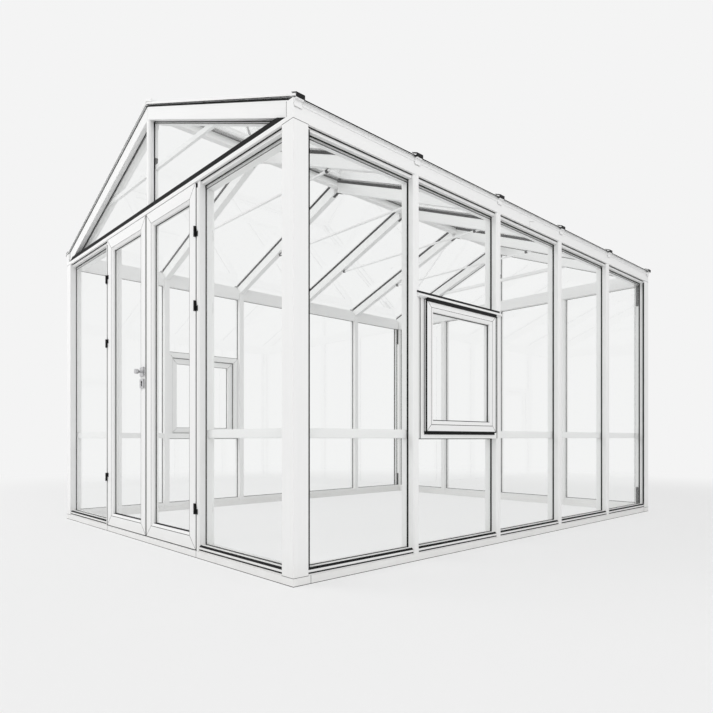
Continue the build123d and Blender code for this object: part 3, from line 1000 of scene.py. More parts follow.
@dataclass
class WallSeals(Trim):
    """Black rubber seals between glass and timber in the four walls and both gables, and black
    strips of painted shade on the rails and by the corner posts.
    """

    reach: float = 0.0038
    shoulder_reach: float = 0.6
    shoulder_lift: float = 0.85
    toe_lift: float = 0.45
    outer_lift: float = 0.0048
    front_lift: float = 0.002
    inner_lift: float = 0.003
    front_sink: float = 0.004
    side_sink: float = 0.009
    # Sizes of the black strips of painted shade on the rails and by the corner posts.
    foot_rise: float = 0.006
    foot_height: float = 0.006
    foot_proud: float = 0.0015
    wedge_wall: float = 0.001
    edge_reach: float = 0.010
    edge_setback: Pair = (0.004, 0.012)
    head_height: float = 0.0035
    head_proud: float = 0.005

    def bead(self, glass: float, lift: float) -> list[Pair]:
        """Section of a rounded bead that stands on the glass.

        Args:
            glass: setback of the glass face.
            lift: how far it stands off the glass, below zero outwards.

        Returns:
            The section as (inset, setback).
        """
        return [
            (0.0, glass),
            (self.reach, glass),
            (self.reach, glass + lift * self.toe_lift),
            (self.reach * self.shoulder_reach, glass + lift * self.shoulder_lift),
            (0.0, glass + lift),
        ]

    def openings(self) -> list[Opening]:
        """Finds the glazed openings of the four walls.

        Returns:
            The openings, with those over and under the windows.
        """
        house = self.house
        foot, outer_head, side_head = house.rail_top, house.outer_head, house.side_head
        window_low, window_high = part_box("window_frame_jambs")
        found = []
        for wall in house.long_walls:
            for bay in house.side_bays:
                if bay[0] < window_low.y + house.post_half < bay[1]:
                    found.append(Opening(wall, *bay, foot, window_low.z, window_low.z))
                    found.append(Opening(wall, *bay, window_high.z, outer_head, side_head))
                else:
                    found.append(Opening(wall, *bay, foot, outer_head, side_head))
        for wall, bays in ((house.front, house.sidelights), (house.back, house.back_bays)):
            found += [Opening(wall, *bay, foot, outer_head, house.end_head) for bay in bays]
        return found

    def gable(self, side: int, half_post: float, foot: float, depth: float) -> list[Pair]:
        """Outline of one glazed half of a gable.

        Args:
            side: 1 or -1 for the two halves.
            half_post: half the width of the post in the middle.
            foot: height of the opening's foot.
            depth: how deep the sloped timber reaches below the roof plane.

        Returns:
            The three corners.
        """
        house = self.house
        drop = depth / math.cos(house.pitch)
        far = (house.apex - drop - foot) / house.rise
        top = house.roof_at(half_post) - drop
        return [(side * half_post, foot), (side * far, foot), (side * half_post, top)]

    def build(self) -> None:
        """Makes the seals of the walls and gables, and the strips of painted shade."""
        house = self.house
        outer = Shaper()
        inner = Shaper()
        inner_bead = self.bead(house.glass_far, self.inner_lift)
        for hole in self.openings():
            at_front = hole.wall == house.front
            lift = self.front_lift if at_front else self.outer_lift
            sink = self.front_sink if at_front else self.side_sink
            outside = rectangle(hole.start, hole.end, hole.foot - sink, hole.outer_head)
            outer.surround(hole.wall, outside, self.bead(house.glass_near, -lift))
            inside = rectangle(hole.start, hole.end, hole.foot, hole.inner_head)
            inner.surround(hole.wall, inside, inner_bead)
        outer.piece("outer_wall_seals", self.palette.rubber)
        inner.piece("inner_wall_seals", self.palette.rubber)
        self.build_gables()
        self.build_shade_strips()

    def build_gables(self) -> None:
        """Makes the seals round the four gable panes."""
        house = self.house
        outer_bead = self.bead(house.glass_near, -self.front_lift)
        inner_bead = self.bead(house.glass_far, self.inner_lift)
        tie_top = house.head + house.tie_top_rise
        shaper = Shaper()
        for wall in (house.front, house.back):
            for side in BOTH_SIDES:
                outside = self.gable(
                    side, house.king_cap_half, house.flashing_top, house.barge_depth
                )
                shaper.surround(wall, outside, outer_bead)
                inside = self.gable(side, house.post_half, tie_top, house.rafter_depth)
                shaper.surround(wall, inside, inner_bead)
        shaper.piece("gable_seals", self.palette.rubber)

    def build_shade_strips(self) -> None:
        """Makes black strips of painted shade on the bottom rails, over the head beads and in the
        corners by the corner posts.
        """
        house = self.house
        shaper = Shaper()
        face, brow = house.rail_setback, house.bead_setback
        low = house.sill + self.foot_rise
        for hole in self.openings():
            along = (hole.start, hole.end)
            if hole.foot == house.rail_top:
                shaper.strip(hole.wall, along, self.wedge)
                up = (low, low + self.foot_height)
                shaper.bar(hole.wall, along, (face - self.foot_proud, face), up)
            if hole.outer_head == house.outer_head:
                up = (house.head - self.head_height, house.head)
                shaper.bar(hole.wall, along, (brow - self.head_proud, brow), up)
        inner = house.half_length - house.corner
        up = (house.rail_top, house.outer_head)
        for wall in house.long_walls:
            for side in BOTH_SIDES:
                along = (side * inner, side * (inner - self.edge_reach))
                shaper.bar(wall, along, self.edge_setback, up)
        shaper.piece("rail_shade_strips", self.palette.rubber)

    @property
    def wedge(self) -> list[Pair]:
        """Draws the black strip of painted shade on the bottom rails' bevel.

        Returns:
            Its section as (setback, up).
        """
        house = self.house
        face, top, bevel = house.rail_setback, house.rail_top, house.rail_chamfer
        wall = self.wedge_wall
        return [
            (face, top - bevel),
            (face + bevel, top),
            (face + bevel - wall, top + wall),
            (face - wall, top - bevel + wall),
        ]


@dataclass
class FrameJointsAndShadow(Trim):
    """Closed joints of the frame drawn as fine dark lines on the outer faces, and a dark strip of
    painted shadow along the foot of each wall.
    """

    width: float = 0.0018
    lift: float = 0.0004
    ground_shadow_line: float = 0.0025

    def build(self) -> None:
        """Makes the joint lines and the painted ground shadow of the front and of both long walls.
        """
        house = self.house
        shaper = Shaper()
        self.add_wall(shaper, house.front, house.half_width, house.half_width - house.door_edge)
        for wall in house.long_walls:
            self.add_wall(shaper, wall, house.half_length, house.plinth_depth)
        edge = house.half_width - house.eaves_depth + self.width
        for side in BOTH_SIDES:
            ends = ((side * edge, house.head + house.tie_face), (side * edge, house.eaves))
            shaper.seam(house.front, *ends, 0.0, self.width, self.lift)
        shaper.piece("frame_joints_and_ground_shadow", self.palette.seam)

    def add_wall(self, shaper: Shaper, wall: Place, half: float, plinth_end: float) -> None:
        """Adds the joint lines of one wall, and the dark strip of painted shadow along its foot.

        Args:
            shaper: receives the lines.
            wall: axes of the wall.
            half: half the wall's length.
            plinth_end: distance from the corner to the joint in the plinth.
        """
        house = self.house
        inner = half - house.corner
        for side in BOTH_SIDES:
            joint = side * (half - plinth_end)
            lines = [((joint, 0.0), (joint, house.sill))]
            for height in (house.sill, house.head):
                lines.append(((side * inner, height), (side * half, height)))
            for start, end in lines:
                shaper.seam(wall, start, end, 0.0, self.width, self.lift)
        # Dark strip along the foot of the wall: painted shadow where it meets the ground.
        shaper.bar(wall, (-half, half), (-self.lift, 0.0), (0.0, self.ground_shadow_line))


@dataclass
class RoofTrim(Trim):
    """Seals of the roof glass, end covers on the roof caps and ironwork under the ridge."""

    rafter_seal_height: float = 0.0155
    rafter_seal_proud: float = 0.002
    cap_seal: float = 0.004
    ridge_seal: float = 0.005
    ridge_cap_inset: float = 0.005
    cover_length: float = 0.034
    cover_wall: float = 0.002
    cover_drop: float = 0.020
    overhang: float = 0.015
    clip_wall: float = 0.004
    eaves_seal: float = 0.0035
    edge_wall: float = 0.002
    edge_lap: float = 0.0004
    strap_wall: float = 0.003
    strap_width: float = 0.022
    strap_reach: float = 0.046
    collar_radius: float = 0.0115
    collar_length: float = 0.020
    plate_height: float = 0.060
    plate_width: float = 0.016
    plate_wall: float = 0.004
    plate_foot: float = 2.262

    def build(self) -> None:
        """Makes every piece of the roof's trim."""
        self.build_rafter_seals()
        self.build_glass_seals()
        self.build_end_covers()
        self.build_apex_straps()
        self.build_rod_collars()
        self.build_king_plates()

    @staticmethod
    def between(lines: Sequence[float], half: float) -> list[Pair]:
        """Clear lengths between neighbouring timbers of some half width."""
        return [(near + half, far - half) for near, far in zip(lines[:-1], lines[1:])]

    def build_rafter_seals(self) -> None:
        """Lays the black strips along the top of each rafter and of the ridge beam."""
        house = self.house
        start = house.down_slope(house.ridge_half)
        end = house.down_slope(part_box("rafters")[1].x)
        half, proud = house.post_half, self.rafter_seal_proud
        depth = (0.0, self.rafter_seal_height)
        shaper = Shaper()
        for side in BOTH_SIDES:
            for line in house.rafter_lines:
                for edge in BOTH_SIDES:
                    up = (edge * half, edge * (half + proud))
                    shaper.bar(house.slope(side, line), (start, end), depth, up)
            for up in self.between(house.rafter_lines, half):
                shaper.bar(house.slope(side, 0.0), (start, start + proud), depth, up)
        shaper.piece("rafter_seals", self.palette.rubber)

    def build_glass_seals(self) -> None:
        """Lays the strips beside the roof caps, under the ridge boards and along the eaves."""
        house = self.house
        board_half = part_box("ridge_cap")[1].x
        near = house.down_slope(board_half - self.ridge_cap_inset)
        end = house.down_slope(house.half_width + self.overhang)
        eaves = house.down_slope(house.half_width)
        top = -house.pane
        ridge = ((near - self.ridge_seal, near), (top - house.roof_cap_height, top))
        edge = ((end, end + self.edge_wall), (top - self.edge_lap, self.edge_lap))
        foot = ((eaves, eaves + self.eaves_seal), (0.0, self.eaves_seal))
        length = house.half_length - house.barge_setback
        shaper = Shaper()
        for side in BOTH_SIDES:
            self.add_cap_seals(shaper, side, (house.down_slope(board_half), end))
            middle = house.slope(side, 0.0)
            for up in self.between(house.cap_lines, house.post_half):
                shaper.bar(middle, *ridge, up)
                shaper.bar(middle, *edge, up)
            shaper.bar(middle, *foot, (-length, length))
        shaper.piece("roof_glass_seals", self.palette.rubber)

    def add_cap_seals(self, shaper: Shaper, side: int, along: Pair) -> None:
        """Adds the strips on both sides of each roof cap, apart from the outermost edges.

        Args:
            shaper: receives the strips.
            side: 1 for the right slope, -1 for the left one.
            along: ends of the strips down the slope.
        """
        house = self.house
        half, top = house.post_half, -house.pane
        for line in house.cap_lines:
            for edge in BOTH_SIDES:
                if abs(line + edge * half) > house.half_length - half:
                    continue
                section = [
                    (top, edge * half),
                    (top, edge * (half + self.cap_seal)),
                    (top - self.cap_seal, edge * half),
                ]
                shaper.strip(house.slope(side, line), along, section)

    def build_end_covers(self) -> None:
        """Bends a black cover over the eaves end of each roof cap."""
        house = self.house
        lift = (house.pane + house.roof_cap_height) / math.cos(house.pitch)
        wall = self.cover_wall / math.cos(house.pitch)
        face = house.half_width + self.overhang + self.clip_wall
        front = face + self.cover_wall
        rear = front - self.cover_length
        back, crown = house.roof_at(rear) + lift, house.roof_at(face) + lift
        top = crown + wall
        reach = house.post_half + self.cover_wall
        shaper = Shaper()
        for side in BOTH_SIDES:
            lid = [
                (side * rear, back),
                (side * rear, back + wall),
                (side * face, top),
                (side * face, crown),
            ]
            brow = rectangle(side * face, side * front, top - self.cover_drop, top)
            for line in house.cap_lines:
                low = max(line - reach, -house.half_length)
                high = min(line + reach, house.half_length)
                for section in (lid, brow):
                    shaper.slab(section, (low, high))
        shaper.piece("roof_cap_covers", self.palette.iron)

    def build_apex_straps(self) -> None:
        """Bends a black strap under the heads of each pair of rafters."""
        house = self.house
        half = self.strap_width / 2
        middle, outer = house.rafter_under(0.0), house.rafter_under(self.strap_reach)
        shaper = Shaper()
        for line in house.rafter_lines[1:-1]:
            for side in BOTH_SIDES:
                far = side * self.strap_reach
                section = [
                    (0.0, middle),
                    (far, outer),
                    (far, outer - self.strap_wall),
                    (0.0, middle - self.strap_wall),
                ]
                shaper.slab(section, (line - half, line + half))
        shaper.piece("apex_straps", self.palette.iron)

    def build_rod_collars(self) -> None:
        """Puts a black collar on each end of the tie rods, against the rafters."""
        house = self.house
        low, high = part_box("tie_rods")
        height = (low.z + high.z) / 2
        radius = self.collar_radius
        rod_end = (house.rafter_under(0.0) - height - radius) / house.rise
        shaper = Shaper()
        for line in house.rafter_lines[1:-1]:
            for side in BOTH_SIDES:
                start = Vector((side * rod_end, line, height))
                profile = [(0.0, radius), (self.collar_length, radius)]
                shaper.turned(start, Vector((-side, 0, 0)), profile)
        shaper.piece("tie_rod_collars", self.palette.iron)

    def build_king_plates(self) -> None:
        """Screws a small black plate to each side of the king posts, over the gable rails."""
        house = self.house
        setback = (house.glass_inner, house.glass_inner + self.plate_width)
        up = (self.plate_foot, self.plate_foot + self.plate_height)
        near, far = house.post_half, house.post_half + self.plate_wall
        shaper = Shaper()
        for wall in (house.front, house.back):
            for side in BOTH_SIDES:
                shaper.bar(wall, (side * near, side * far), setback, up)
        shaper.piece("king_post_plates", self.palette.iron)


@dataclass
class PanelTrim(Trim):
    """What the glazed panels of windows and doors share: glass beads, ledges, mitres and a line of
    painted shade at the bevel.
    """

    reach: float = 0.0025
    lift: float = 0.002
    bead_taper: float = 1.0
    ledge_depth: float = 0.004
    ledge_height: float = 0.002
    glass_foot: float = 0.004
    mitre_width: float = 0.0018
    mitre_lift: float = 0.0003
    # Height of the heavier painted shade line at the foot of a bevel.
    bevel_shade_foot: float = 0.003

    def add_glazing(
        self, shaper: Shaper, wall: Place, pane: Panel, near: float, ledge: float
    ) -> None:
        """Adds the beads on both sides of a pane, and the strips at its foot.

        Args:
            shaper: receives the seals.
            wall: axes of the wall.
            pane: outline of the glass that shows.
            near: setback of the glass's outer face.
            ledge: setback of the strip on the bottom bead.
        """
        tip = self.reach * self.bead_taper
        for glass, lift in ((near, -self.lift), (near + self.house.pane, self.lift)):
            top = glass + lift
            section = [(0.0, glass), (self.reach, glass), (tip, top), (0.0, top)]
            shaper.surround(wall, pane.corners, section)
        depth, foot = (ledge, ledge + self.ledge_depth), pane.foot
        shaper.bar(wall, pane.width, depth, (foot, foot + self.ledge_height))
        depth = (near - self.glass_foot, near)
        shaper.bar(wall, pane.width, depth, (foot, foot + self.glass_foot))

    def add_mitres(
        self, shaper: Shaper, wall: Place, outer: Panel, inner: Panel, setback: float, facing: int
    ) -> None:
        """Draws the mitres of a frame.

        Args:
            shaper: receives the lines.
            wall: axes of the wall.
            outer: outer outline of the frame.
            inner: inner outline of the frame.
            setback: setback of its face.
            facing: 1 for an outer face, -1 for one inside the house.
        """
        lift = facing * self.mitre_lift
        for start, end in zip(outer.corners, inner.corners):
            shaper.seam(wall, start, end, setback, self.mitre_width, lift)

    def add_bevel_shade_line(self, shaper: Shaper, wall: Place, flat: Panel, face: float) -> None:
        """Draws a dark line of painted shade where a frame's flat face meets its bevel, heavier at
        the foot.

        Args:
            shaper: receives the line.
            wall: axes of the wall.
            flat: inner outline of the flat face.
            face: setback of the face.
        """
        depth = (face - self.mitre_lift, face)
        shaper.surround(wall, flat.corners, rectangle(-self.mitre_width, 0.0, *depth))
        shaper.bar(wall, flat.width, depth, (flat.foot - self.bevel_shade_foot, flat.foot))


@dataclass
class WindowTrim(PanelTrim):
    """Seals, mitre joints and black strips of painted shade of the two windows in the long walls.
    """

    frame_width: float = 0.033
    frame_stop: float = 0.012
    frame_back: float = 0.050
    sash_gap: float = 0.004
    sash_width: float = 0.057
    sash_proud: float = 0.016
    sash_bevel: float = 0.020
    sash_bevel_depth: float = 0.006
    sash_back: float = 0.032
    rim_lap: float = 0.0025
    rim_wall: float = 0.0006
    rim_depth: float = 0.005
    gap_margin: float = 0.0005
    gap_depth: float = 0.028
    stop_seal: float = 0.006
    # The strips under the sash and the drip cap and beside the jambs are painted shade; the one
    # over the drip cap is a seal.
    sill_shadow_height: float = 0.016
    sill_wall: float = 0.004
    brow_shadow_height: float = 0.018
    brow_wall: float = 0.005
    crown_seal: float = 0.009
    crown_wall: float = 0.003
    jamb_shade_width: float = 0.005

    def build(self) -> None:
        """Makes the seals round each sash and its glass, the strips of painted shade round the sash
        and drip cap, and the lines of the mitres and of painted shade at the sash's bevel.
        """
        low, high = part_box("window_frame_jambs")
        window = Panel(low.y, high.y, low.z, high.z)
        seals = Shaper()
        mitres = Shaper()
        for wall in self.house.long_walls:
            self.add_sash_seals(seals, wall, window.inside(self.frame_width))
            self.add_weather_and_shade_strips(seals, wall, window)
            self.add_joints(mitres, wall, window)
        seals.piece("window_seals_and_shade", self.palette.rubber)
        # The mitre piece also holds the line of painted shade at the sash's bevel.
        mitres.piece("window_mitres", self.palette.seam)

    def add_sash_seals(self, shaper: Shaper, wall: Place, edge: Panel) -> None:
        """Adds the rim of the sash, the seals in its rebate, a black filler of painted shade in the
        gap round it, and the beads on its glass.

        Args:
            shaper: receives the seals.
            wall: axes of the wall.
            edge: inner outline of the window frame.
        """
        gap, face, back = self.sash_gap, -self.sash_proud, self.sash_back
        lap = gap + self.rim_lap
        rim = [
            (0.0, face - self.rim_wall),
            (lap, face - self.rim_wall),
            (lap, face),
            (gap, face),
            (gap, face + self.rim_depth),
            (0.0, face + self.rim_depth),
        ]
        shaper.surround(wall, edge.corners, rim)
        # Black filler in the gap round the sash: painted shade.
        gap_shade = rectangle(self.gap_margin, gap - self.gap_margin, 0.0, self.gap_depth)
        shaper.surround(wall, edge.corners, gap_shade)
        cushion = rectangle(0.0, self.stop_seal, back, back + self.stop_seal)
        shaper.surround(wall, edge.inside(self.frame_stop).corners, cushion)
        near = self.house.half_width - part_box("window_glass")[1].x
        pane = edge.inside(gap + self.sash_width)
        self.add_glazing(shaper, wall, pane, near, face + self.sash_bevel_depth)

    def add_joints(self, shaper: Shaper, wall: Place, window: Panel) -> None:
        """Draws the mitres of the sash outside, and of frame and sash inside, and the line of
        painted shade at the sash's bevel.

        Args:
            shaper: receives the lines.
            wall: axes of the wall.
            window: outer outline of the window frame.
        """
        edge = self.frame_width + self.sash_gap
        sash, stop = window.inside(edge), window.inside(self.frame_width + self.frame_stop)
        flat = sash.inside(self.sash_width - self.sash_bevel)
        face = -self.sash_proud
        self.add_mitres(shaper, wall, sash, flat, face, 1)
        self.add_mitres(shaper, wall, window, stop, self.frame_back, -1)
        self.add_mitres(shaper, wall, stop, sash.inside(self.sash_width), self.sash_back, -1)
        self.add_bevel_shade_line(shaper, wall, flat, face)

    def add_weather_and_shade_strips(self, shaper: Shaper, wall: Place, window: Panel) -> None:
        """Adds black strips: painted shadow under the sash and under the drip cap, a seal over the
        drip cap, and painted shade beside the jambs.

        Args:
            shaper: receives the strips.
            wall: axes of the wall.
            window: outer outline of the window frame.
        """
        drip_low, drip_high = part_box("window_drip_caps")
        edge = window.inside(self.frame_width)
        sash = edge.inside(self.sash_gap)
        # Black band under the sash: painted shadow.
        sill = (sash.foot - self.sill_shadow_height, sash.foot)
        shaper.bar(wall, edge.width, (-self.sill_wall, 0.0), sill)
        face = -self.sash_proud
        # Black band under the drip cap: painted shadow.
        brow = drip_low.z + self.brow_wall
        depth = (face - self.brow_wall, face)
        shaper.bar(wall, sash.width, depth, (brow - self.brow_shadow_height, brow))
        crown = (drip_high.z, drip_high.z + self.crown_seal)
        shaper.bar(wall, (drip_low.y, drip_high.y), (-self.crown_wall, 0.0), crown)
        # Black strips beside the jambs: painted shade at the frame's edge.
        up = (window.foot, drip_low.z)
        for jamb, inward in ((window.start, 1), (window.end, -1)):
            along = (jamb, jamb + inward * self.jamb_shade_width)
            shaper.bar(wall, along, (-self.rim_wall, 0.0), up)


@dataclass
class DoorTrim(PanelTrim):
    """Seals, brushes, screws and keyholes of the pair of doors, with black strips of painted shade
    at the door gaps and keyholes of painted shade.
    """

    bead_taper: float = 0.6
    stile: float = 0.082
    glass_setback: float = 0.024
    bevel: float = 0.014
    bevel_depth: float = 0.010
    # Black strips in the rebates and along the faces of the door posts: painted shade of the gap
    # beside the doors.
    rebate_shade: float = 0.0015
    rebate_shade_setback: Pair = (0.001, 0.014)
    brush_reach: float = 0.0035
    brush_setback: Pair = (0.002, 0.010)
    foot_reach: float = 0.004
    gap_shade_wall: float = 0.0005
    gap_setback: Pair = (0.001, 0.012)
    face_shadow_width: float = 0.006
    meeting_shade_width: float = 0.003
    hinge_spacing: float = 0.082
    screw_radius: float = 0.0032
    screw_height: float = 0.0011
    screw_shoulder: Pair = (0.5, 0.92)
    screw_crown: float = 0.55
    screw_sides: int = 12
    screw_spacing: float = 0.013
    plate_wall: float = 0.0025
    plate_far: float = 0.016
    key_plate: float = 0.055
    key_plate_wall: float = 0.008
    key_head: float = 0.0085
    key_slot: float = 0.005
    key_rise: float = 0.008
    key_drop: float = 0.0165
    key_proud: float = 0.0008
    key_steps: int = 20

    def build(self) -> None:
        """Makes the trim of both leaves and of their posts."""
        for body, side in ((Body.RIGHT_DOOR, 1), (Body.LEFT_DOOR, -1)):
            low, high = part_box(f"{body.value}_stiles")
            leaf = Panel(low.x, high.x, low.z, high.z)
            self.build_glazing(body, leaf)
            self.build_brushes(body, leaf, side)
        self.build_rebate_shade()
        self.build_screws()
        self.build_keyholes()

    def build_glazing(self, body: Body, leaf: Panel) -> None:
        """Makes the seals of one leaf's glass, the lines of its mitres and the line of painted
        shade at its bevel.

        Args:
            body: the leaf's body.
            leaf: outline of the leaf.
        """
        front = self.house.front
        panes = Shaper()
        pane = leaf.inside(self.stile)
        self.add_glazing(panes, front, pane, self.glass_setback, self.bevel_depth)
        panes.piece(f"{body.value}_glass_seals", self.palette.rubber, body)
        mitres = Shaper()
        flat = leaf.inside(self.stile - self.bevel)
        self.add_mitres(mitres, front, leaf, flat, 0.0, 1)
        self.add_bevel_shade_line(mitres, front, flat, 0.0)
        # The mitre piece also holds the line of painted shade at the leaf's bevel.
        mitres.piece(f"{body.value}_mitres", self.palette.seam, body)

    def build_brushes(self, body: Body, leaf: Panel, side: int) -> None:
        """Makes the brushes of one leaf, and black strips of painted shade in its hinge-side gap
        and along its meeting edge.

        Args:
            body: the leaf's body.
            leaf: outline of the leaf.
            side: 1 for the right leaf, -1 for the left one.
        """
        front = self.house.front
        meeting, hinged = leaf.width if side > 0 else reversed(leaf.width)
        foot = (leaf.foot - self.foot_reach, leaf.foot)
        face = (-self.mitre_lift, 0.0)
        # The first strip is a brush; the hinge-side and meeting strips are painted shade of the
        # gaps.
        edges = (
            (meeting, -self.brush_reach, self.brush_setback),
            (hinged, self.gap_shade_wall, self.gap_setback),
            (meeting, self.meeting_shade_width, face),
        )
        shaper = Shaper()
        for start, reach, setback in edges:
            shaper.bar(front, (start, start + side * reach), setback, leaf.height)
        shaper.bar(front, leaf.width, self.brush_setback, foot)
        shaper.piece(f"{body.value}_brushes", self.palette.rubber, body)

    def build_rebate_shade(self) -> None:
        """Lines the rebates of the door posts, and the edges of their faces, with black strips:
        painted shade of the gap beside the doors.
        """
        house = self.house
        edge, up = house.door_edge, (house.sill, house.end_head)
        rebate = (edge - self.rebate_shade, self.rebate_shade_setback)
        face = (edge + self.face_shadow_width, (-self.mitre_lift, 0.0))
        shaper = Shaper()
        for side in BOTH_SIDES:
            for far, setback in (rebate, face):
                shaper.bar(house.front, (side * edge, side * far), setback, up)
        shaper.piece("door_post_rebate_shades", self.palette.rubber)

    def build_screws(self) -> None:
        """Puts two black screw heads in each hinge plate."""
        plates = (
            ("hinge_post_halves", Body.HOUSE),
            ("right_door_hinges", Body.RIGHT_DOOR),
            ("left_door_hinges", Body.LEFT_DOOR),
        )
        for name, body in plates:
            shaper = Shaper()
            for low, high in self.islands(name):
                middle = (low.z + high.z) / 2
                x = self.plate_line(low.x, high.x, name)
                for side in BOTH_SIDES:
                    z = middle + side * self.screw_spacing / 2
                    self.add_screw(shaper, self.house.front.at(x, -self.plate_wall, z))
            shaper.piece(f"{name}_screws", self.palette.iron, body)

    def plate_line(self, low: float, high: float, name: str) -> float:
        """Middle of the flat plate of one hinge half.

        Args:
            low: the half's lowest x.
            high: its highest x.
            name: its node.

        Returns:
            The x of its screws.
        """
        outward = name == "hinge_post_halves"
        side = 1 if (low + high > 0) == outward else -1
        axis = low if side > 0 else high
        return axis + side * (self.plate_far + self.screw_radius)

    def islands(self, name: str) -> list[tuple[Vector, Vector]]:
        """Boxes of the separate solids of a node, found by gaps between their heights.

        Args:
            name: the node.

        Returns:
            (lowest, highest) corner of each solid.
        """
        points = [vertex.co.copy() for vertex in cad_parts[name].data.vertices]
        groups: list[list[Vector]] = []
        for sign in BOTH_SIDES:
            group: list[Vector] = []
            for point in sorted((p for p in points if p.x * sign > 0), key=lambda p: p.z):
                if not group or point.z - group[-1].z > self.hinge_spacing:
                    group = []
                    groups.append(group)
                group.append(point)
        return [self.box_of(group) for group in groups]

    @staticmethod
    def box_of(points: Sequence[Vector]) -> tuple[Vector, Vector]:
        """Lowest and highest corner of some points."""
        axes = list(zip(*points))
        return Vector([min(axis) for axis in axes]), Vector([max(axis) for axis in axes])

    def add_screw(self, shaper: Shaper, place: Vector) -> None:
        """Adds one low, rounded screw head that faces outwards from the front wall.

        Args:
            shaper: receives the screw.
            place: middle of its foot.
        """
        rise, width = self.screw_shoulder
        profile = [
            (0.0, self.screw_radius),
            (self.screw_height * rise, self.screw_radius * width),
            (self.screw_height, self.screw_radius * self.screw_crown),
        ]
        shaper.turned(place, Vector((0, -1, 0)), profile, self.screw_sides)

    def build_keyholes(self) -> None:
        """Covers the bore of each key plate with a flat, near-black keyhole shape: painted shade of
        the hole in the lock.
        """
        low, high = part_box("left_door_furniture")
        front, back = (corner.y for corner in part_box("left_door_stiles"))
        middle = (low.x + high.x) / 2
        height = low.z + self.key_plate / 2
        lean = math.acos(self.key_slot / self.key_head)
        sweep = (math.pi + 2 * lean) / self.key_steps
        turns = [step * sweep - lean for step in range(self.key_steps + 1)]
        head = height + self.key_rise
        outline = [
            (middle + self.key_head * math.cos(turn), head + self.key_head * math.sin(turn))
            for turn in turns
        ]
        foot = height - self.key_drop
        outline += [(middle - self.key_slot, foot), (middle + self.key_slot, foot)]
        shaper = Shaper()
        for face, outwards in ((front, -1), (back, 1)):
            plate = face + outwards * self.key_plate_wall
            shaper.slab(outline, (plate, plate + outwards * self.key_proud))
        shaper.piece("left_door_keyholes", self.palette.keyhole_shade, Body.LEFT_DOOR)


@dataclass
class CornerIrons(Trim):
    """Black irons at head and foot of the back corner posts, on the line of the glass."""

    head_length: float = 0.18
    foot_length: float = 0.14
    setback: Pair = (0.052, 0.070)
    wall: float = 0.006

    def build(self) -> None:
        """Makes the four irons."""
        house = self.house
        face = house.half_length - house.corner
        head, foot = house.side_head, house.rail_top
        shaper = Shaper()
        for wall in house.long_walls:
            for up in ((head - self.head_length, head), (foot, foot + self.foot_length)):
                shaper.bar(wall, (face - self.wall, face), self.setback, up)
        shaper.piece("corner_irons", self.palette.iron)


@dataclass(frozen=True)
class Lamp:
    """A large, soft, square lamp that doesn't show itself."""

    name: str
    place: Point
    size: float
    power: float

    def hang(self, target: Vector) -> None:
        """Hangs the lamp so that it shines at a point.

        Args:
            target: the point.
        """
        lamp = bpy.data.lights.new(self.name, "AREA")
        lamp.size = self.size
        lamp.energy = self.power
        hung = bpy.data.objects.new(self.name, lamp)
        hung.location = self.place
        aim = target - Vector(self.place)
        hung.rotation_euler = aim.to_track_quat("-Z", "Y").to_euler()
        hung.visible_camera = False
        hung.visible_glossy = False
        hung.visible_transmission = False
        bpy.context.scene.collection.objects.link(hung)


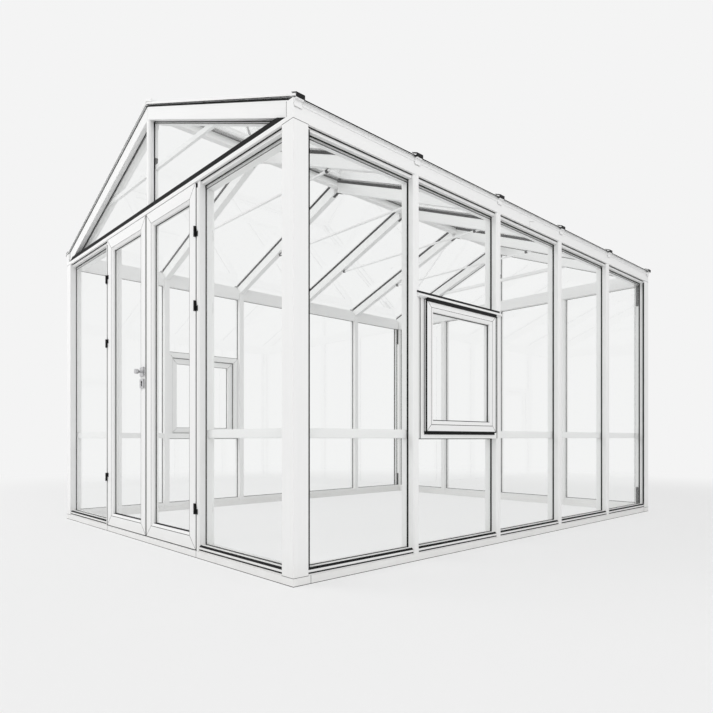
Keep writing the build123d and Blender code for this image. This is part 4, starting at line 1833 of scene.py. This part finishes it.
@dataclass
class Studio:
    """Pale floor, soft light and the camera."""

    paper: float = 0.905
    sky_strength: float = 0.66
    floor_half: float = 40.0
    floor_drop: float = 0.0005
    floor_tone: float = 0.80
    floor_glow: float = 0.62
    fade_start: float = 3.6
    fade_end: float = 7.5
    camera_place: Point = (3.449, -3.403, 0.626)
    camera_turn: float = 46.87
    picture_side: float = 713.0
    focal_pixels: float = 588.0
    horizon_pixel: float = 438.5
    sensor: float = 36.0

    lamps = (
        Lamp("key_lamp", (-4.5, -7.5, 6.0), 6.0, 350.0),
        Lamp("fill_lamp", (8.0, -3.0, 4.5), 6.0, 200.0),
    )
    lamp_target = Vector((0, 0, 1))

    def build(self) -> None:
        """Sets up the whole studio."""
        scene = bpy.context.scene
        scene.view_settings.view_transform = "Standard"
        self.build_world(scene)
        self.build_floor(scene)
        for lamp in self.lamps:
            lamp.hang(self.lamp_target)
        self.build_camera(scene)

    @staticmethod
    def seen_directly(sheet: NodeSheet) -> Socket:
        """Makes a mask of the rays that show the background: camera, mirror and glass rays.

        Args:
            sheet: the nodes of the floor or the world.

        Returns:
            The mask's socket.
        """
        rays = sheet.add("ShaderNodeLightPath").outputs
        shown = sheet.math("MAXIMUM", rays["Is Camera Ray"], rays["Is Glossy Ray"])
        return sheet.math("MAXIMUM", shown, rays["Is Transmission Ray"])

    def build_world(self, scene: bpy.types.Scene) -> None:
        """Makes a world that lights softly and shows as off-white paper.

        Args:
            scene: the scene.
        """
        world = bpy.data.worlds.new("studio_world")
        world.use_nodes = True
        sheet = NodeSheet(world.node_tree)
        light = sheet.add("ShaderNodeBackground")
        sheet.feed(light, Color=grey(1.0), Strength=self.sky_strength)
        paper = sheet.add("ShaderNodeBackground")
        sheet.feed(paper, Color=grey(self.paper), Strength=1.0)
        surface = sheet.overlay(self.seen_directly(sheet), light, paper)
        sheet.feed(sheet.add("ShaderNodeOutputWorld"), Surface=surface)
        scene.world = world

    def build_floor(self, scene: bpy.types.Scene) -> None:
        """Makes a wide pale floor that keeps the shadow and fades into the paper.

        Args:
            scene: the scene.
        """
        half = self.floor_half
        corners = rectangle(-half, half, -half, half)
        data = bpy.data.meshes.new("floor")
        data.from_pydata([(x, y, -self.floor_drop) for x, y in corners], [], [(0, 1, 2, 3)])
        floor = bpy.data.objects.new("floor", data)
        scene.collection.objects.link(floor)
        made, sheet = blank_material("floor_paper")
        matt = sheet.add("ShaderNodeBsdfDiffuse")
        sheet.feed(matt, Color=grey(self.floor_tone))
        glow = sheet.add("ShaderNodeEmission")
        sheet.feed(glow, Color=grey(self.paper))
        away = sheet.add("ShaderNodeVectorMath", operation="LENGTH")
        sheet.plug(away.inputs, [sheet.place()])
        fade = sheet.add("ShaderNodeMapRange", interpolation_type="SMOOTHSTEP")
        sheet.feed(fade, Value=away.outputs["Value"], To_Min=self.floor_glow, To_Max=1.0)
        sheet.feed(fade, From_Min=self.fade_start, From_Max=self.fade_end)
        factor = sheet.math("MULTIPLY", fade.outputs[0], self.seen_directly(sheet))
        surface = sheet.overlay(factor, matt, glow)
        sheet.feed(sheet.add("ShaderNodeOutputMaterial"), Surface=surface)
        data.materials.append(made)

    def build_camera(self, scene: bpy.types.Scene) -> None:
        """Stands a level camera at the picture's viewpoint, with its horizon below the middle.

        Args:
            scene: the scene.
        """
        data = bpy.data.cameras.new("picture_camera")
        data.sensor_width = self.sensor
        data.lens = self.sensor * self.focal_pixels / self.picture_side
        data.shift_y = (self.horizon_pixel - self.picture_side / 2) / self.picture_side
        camera = bpy.data.objects.new("picture_camera", data)
        camera.location = self.camera_place
        camera.rotation_euler = (math.radians(90.0), 0.0, math.radians(self.camera_turn))
        scene.collection.objects.link(camera)
        scene.camera = camera


def main() -> None:
    """Builds the studio and dresses the house, part by part."""
    logging.basicConfig(level=logging.INFO, format="%(message)s")
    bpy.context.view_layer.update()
    house = House.measure()
    palette = Palette()
    Studio().build()
    Timberwork(palette).dress()
    WallSeals(house, palette).build()
    FrameJointsAndShadow(house, palette).build()
    RoofTrim(house, palette).build()
    WindowTrim(house, palette).build()
    DoorTrim(house, palette).build()
    CornerIrons(house, palette).build()


if __name__ == "__main__":
    main()
